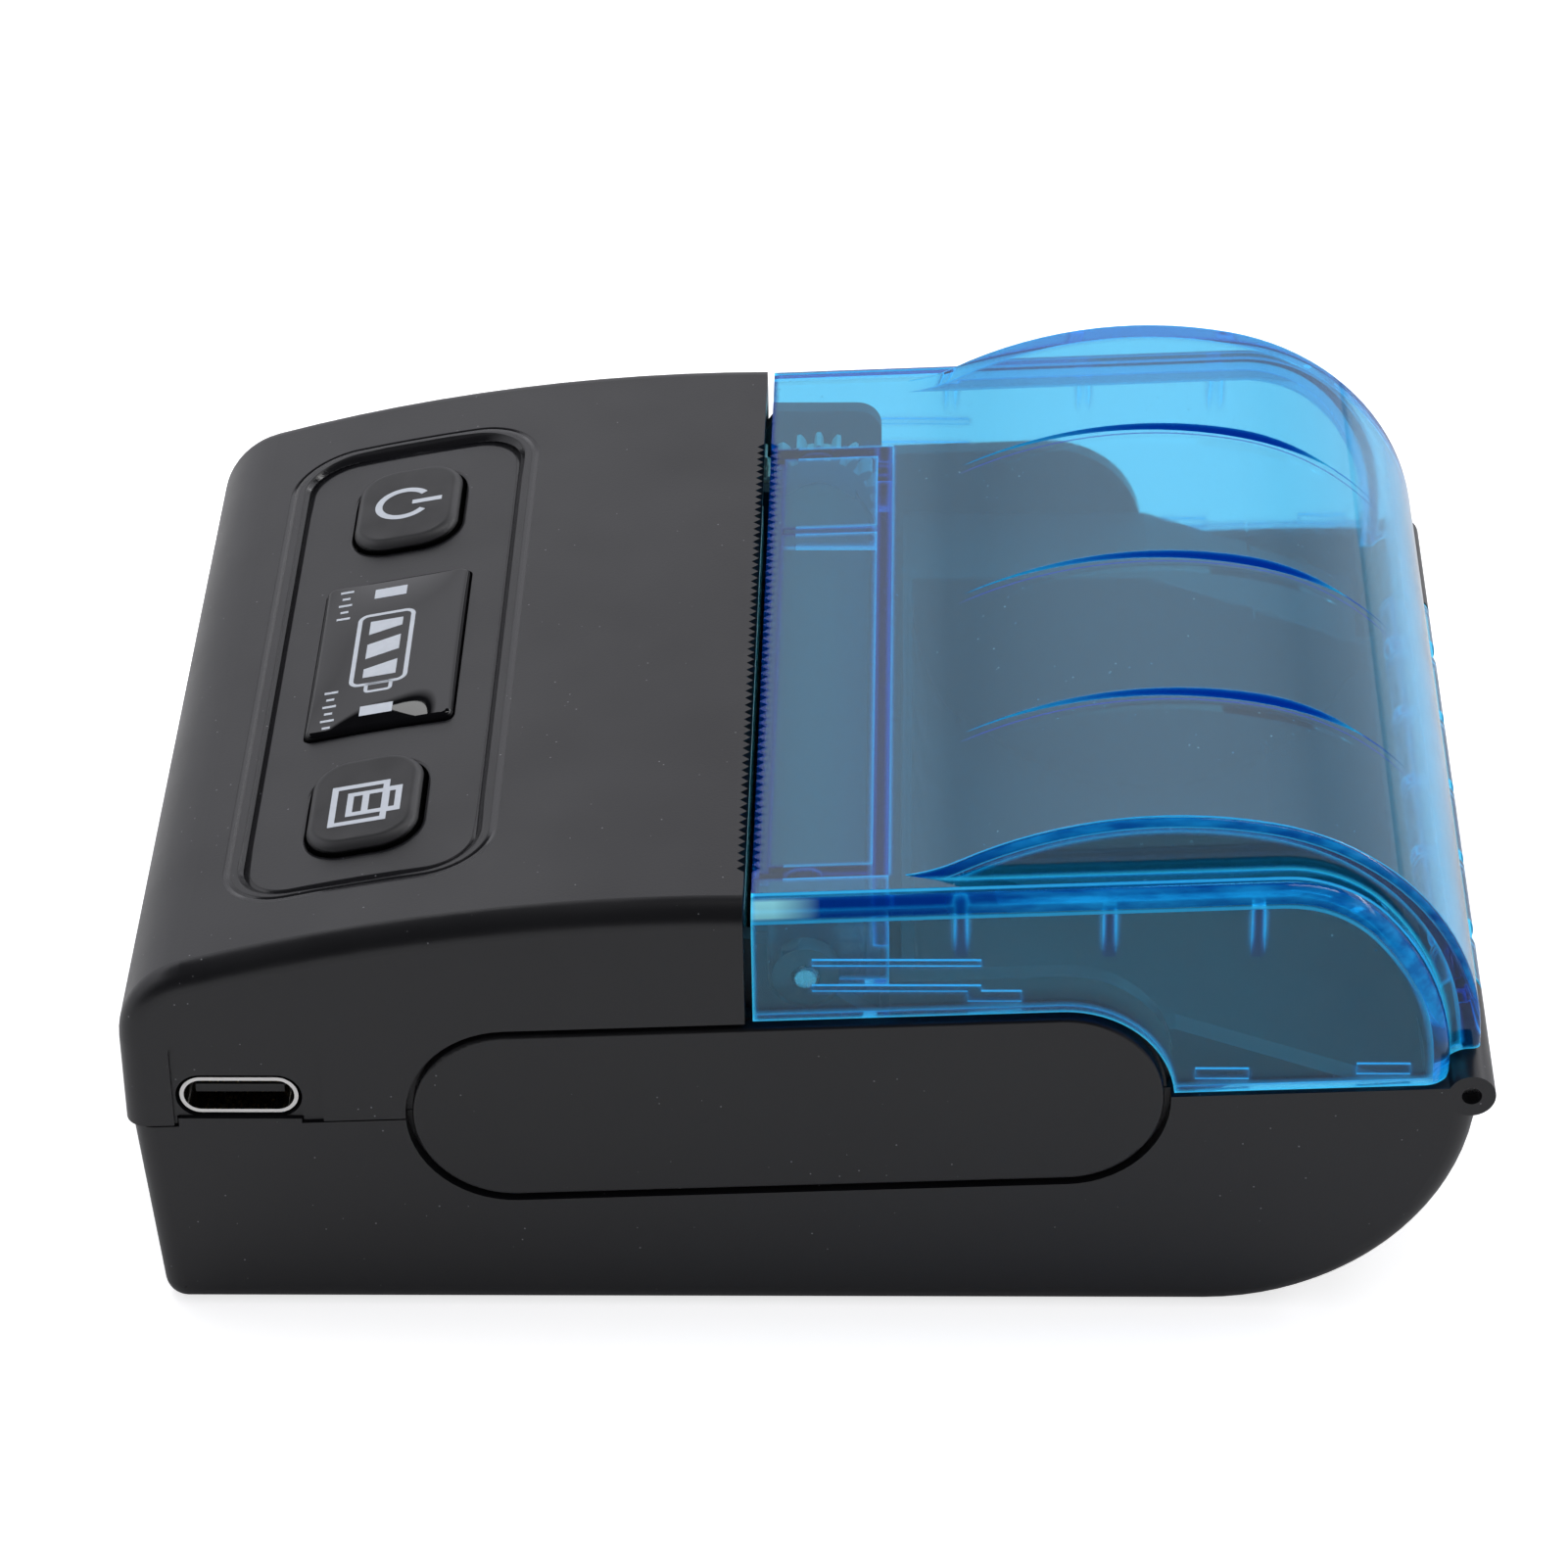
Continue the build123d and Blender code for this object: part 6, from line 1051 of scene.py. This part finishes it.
on_window("gauge_frame", framed(
    GAUGE_MIDDLE, GAUGE_WIDTH, GAUGE_LENGTH, GAUGE_STROKE, GAUGE_CORNER, GAUGE_CORNER - GAUGE_STROKE,
))
gauge_end = GAUGE_MIDDLE[0] + GAUGE_WIDTH / 2
nub_middle = (gauge_end - GAUGE_STROKE + NUB_WIDTH / 2, GAUGE_MIDDLE[1] + NUB_ASIDE)
on_window("gauge_nub", framed(
    nub_middle, NUB_WIDTH, NUB_LENGTH, NUB_STROKE, NUB_CORNER, NUB_HOLE_CORNER,
))

# %% [markdown]
# Three slanting bars stand for the charge, and a plain patch lies over each status lamp. Each bar is
# given by where its four corners lie across: near left, far left, far right and near right.

# %% Charge bars and lamp patches
CHARGE_FROM = -1.75
CHARGE_TO = 0.93
CHARGE_BARS = {
    "charge_bar_first": (-4.6, -4.6, -3.45, -2.65),
    "charge_bar_middle": (-1.2, -2.05, 0.05, 0.9),
    "charge_bar_last": (2.4, 1.55, 3.65, 3.65),
}
PATCH_WIDTH = 1.35
PATCH_LENGTH = 2.65
PATCHES = {"lamp_patch_left": (-8.75, -0.43), "lamp_patch_right": (8.5, -0.25)}

for name, (near_left, far_left, far_right, near_right) in CHARGE_BARS.items():
    slanted = [
        (near_left, CHARGE_FROM), (near_right, CHARGE_FROM),
        (far_right, CHARGE_TO), (far_left, CHARGE_TO),
    ]
    on_window(name, [slanted])
for name, middle in PATCHES.items():
    on_window(name, [rectangle(*middle, PATCH_WIDTH, PATCH_LENGTH)])

# %% [markdown]
# Beside each patch runs a plain scale of short strokes.

# %% Scales beside the lamp patches
SCALE_ALONG = -4.15
SCALE_PITCH = 1.0
STROKE_WIDTH = 0.3
LONG_STROKE = 1.1
SHORT_STROKE = 0.65
SCALES = {"scale_left": (-9.75, 5), "scale_right": (5.1, 6)}

for name, (first, count) in SCALES.items():
    strokes = []
    for i in range(count):
        length = SHORT_STROKE if i % 2 else LONG_STROKE
        strokes.append(rectangle(first + i * SCALE_PITCH, SCALE_ALONG, STROKE_WIDTH, length))
    on_window(name, strokes)

# %% [markdown]
# Floor and room
#
# The printer stands in a white sweep under a dark ceiling. The floor is a pale matt sheet that takes
# the shadow. What the camera and clear pieces see of the floor and the room is made white separately,
# so that the white background doesn't need more light on the printer.

# %% Floor
FLOOR_HALF = 3.0
FLOOR_COLOUR = (0.8, 0.8, 0.8)
FLOOR_LIFT = 0.7
FLOOR_LIFT_THROUGH = 0.48


def background_rays(tree):
    """1 for rays from the camera or a clear piece, 0 for other light."""
    path = add(tree, "LightPath").outputs
    return maths(tree, "MAXIMUM", path["Is Camera Ray"], path["Is Transmission Ray"])


floor_mesh = bpy.data.meshes.new("floor")
corners = [(x * FLOOR_HALF, y * FLOOR_HALF, 0) for x, y in CORNERS]
floor_mesh.from_pydata(corners, [], [(0, 1, 2, 3)])
floor = bpy.data.objects.new("floor", floor_mesh)
bpy.context.collection.objects.link(floor)

floor_finish = bpy.data.materials.new("floor_white")
floor_finish.use_nodes = True
floor_tree = floor_finish.node_tree
floor_tree.nodes.remove(floor_tree.nodes["Principled BSDF"])
matt = add(floor_tree, "BsdfDiffuse", {"Color": FLOOR_COLOUR}).outputs[0]
to_camera = add(floor_tree, "LightPath").outputs["Is Camera Ray"]
lift_level = spread(floor_tree, to_camera, FLOOR_LIFT_THROUGH, FLOOR_LIFT, 0, 1)
lift = add(floor_tree, "Emission", {"Color": (1, 1, 1), "Strength": lift_level}).outputs[0]
lifted = add(floor_tree, "AddShader", {0: matt, 1: lift}).outputs[0]
shown = over(floor_tree, background_rays(floor_tree), matt, lifted)
plug(floor_tree.nodes["Material Output"].inputs["Surface"], shown)
floor_mesh.materials.append(floor_finish)
print("floor", 2 * FLOOR_HALF, "m square")

# %% [markdown]
# The room is a world background that answers each kind of ray differently. Straight rays find white,
# and light on matt faces comes from an even grey. Mirrors see a wall that gets brighter upwards, and
# darkness overhead and on the viewer's side: it is what turns the rounded rims of the keys and of
# the window black.

# %% Room light
ROOM_LEVEL = 0.45
BACKDROP_LEVEL = 1.03
WALL_LOW = 0.8
WALL_HIGH = 1.5
CEILING_LEVEL = 0.03
WALL_FOOT = 0.35
WALL_TOP = 0.63
CEILING_EDGE = 0.655
VIEWER_SIDE = 0.5
ROOM_COLOUR = (0.98, 0.98, 1.04)

room = bpy.data.worlds.new("room")
bpy.context.scene.world = room
room.use_nodes = True
room_tree = room.node_tree
skyward = frame_parts(room_tree, "Generated")
ceiling = spread(room_tree, skyward["Z"], 0, 1, WALL_TOP, CEILING_EDGE)
towards_viewer = spread(room_tree, skyward["X"], 0, 1, 0.0, VIEWER_SIDE)
shade = maths(room_tree, "MAXIMUM", ceiling, towards_viewer)
wall = spread(room_tree, skyward["Z"], WALL_LOW, WALL_HIGH, WALL_FOOT, WALL_TOP)
mirror_level = between(room_tree, shade, wall, CEILING_LEVEL)
straight_level = spread(room_tree, background_rays(room_tree), ROOM_LEVEL, BACKDROP_LEVEL, 0, 1)
in_mirror = add(room_tree, "LightPath").outputs["Is Glossy Ray"]
background = room_tree.nodes["Background"].inputs
plug(background["Color"], ROOM_COLOUR)
plug(background["Strength"], between(room_tree, in_mirror, straight_level, mirror_level))
bpy.context.scene.view_settings.view_transform = "Standard"
print("room light", ROOM_LEVEL)

# %% [markdown]
# Lamps
#
# A broad soft lamp hangs over the printer and gives the soft shadow, unseen by mirrors. Two small
# ones leave the glints on the rims and at the window's near end, and a long one behind draws the
# bright lines along the cover's edges.

# %% Lamps
LAMP_AIM = Vector((0, 0, 0.02))


def soft_lamp(name, place, size_x, size_y, brightness, mirrored=True):
    """A rectangular lamp that faces the printer, so many times as bright as white paper."""
    data = bpy.data.lights.new(name, "AREA")
    data.shape = "RECTANGLE"
    data.size = size_x
    data.size_y = size_y
    data.energy = brightness * pi * size_x * size_y
    lamp = bpy.data.objects.new(name, data)
    lamp.location = place
    lamp.rotation_euler = (LAMP_AIM - Vector(place)).to_track_quat("-Z", "Y").to_euler()
    lamp.visible_glossy = mirrored
    bpy.context.collection.objects.link(lamp)
    print(name, "at", place)


soft_lamp("overhead_lamp", (-0.25, -0.1, 0.85), 0.7, 0.7, 2.0, mirrored=False)
soft_lamp("glint_lamp", (-0.1, 0.35, 0.8), 0.12, 0.5, 6.0)
soft_lamp("near_glint_lamp", (-0.67, -0.29, 0.735), 0.16, 0.07, 4.5)
soft_lamp("rear_strip", (-0.35, 0.75, 0.45), 0.9, 0.08, 6.0)
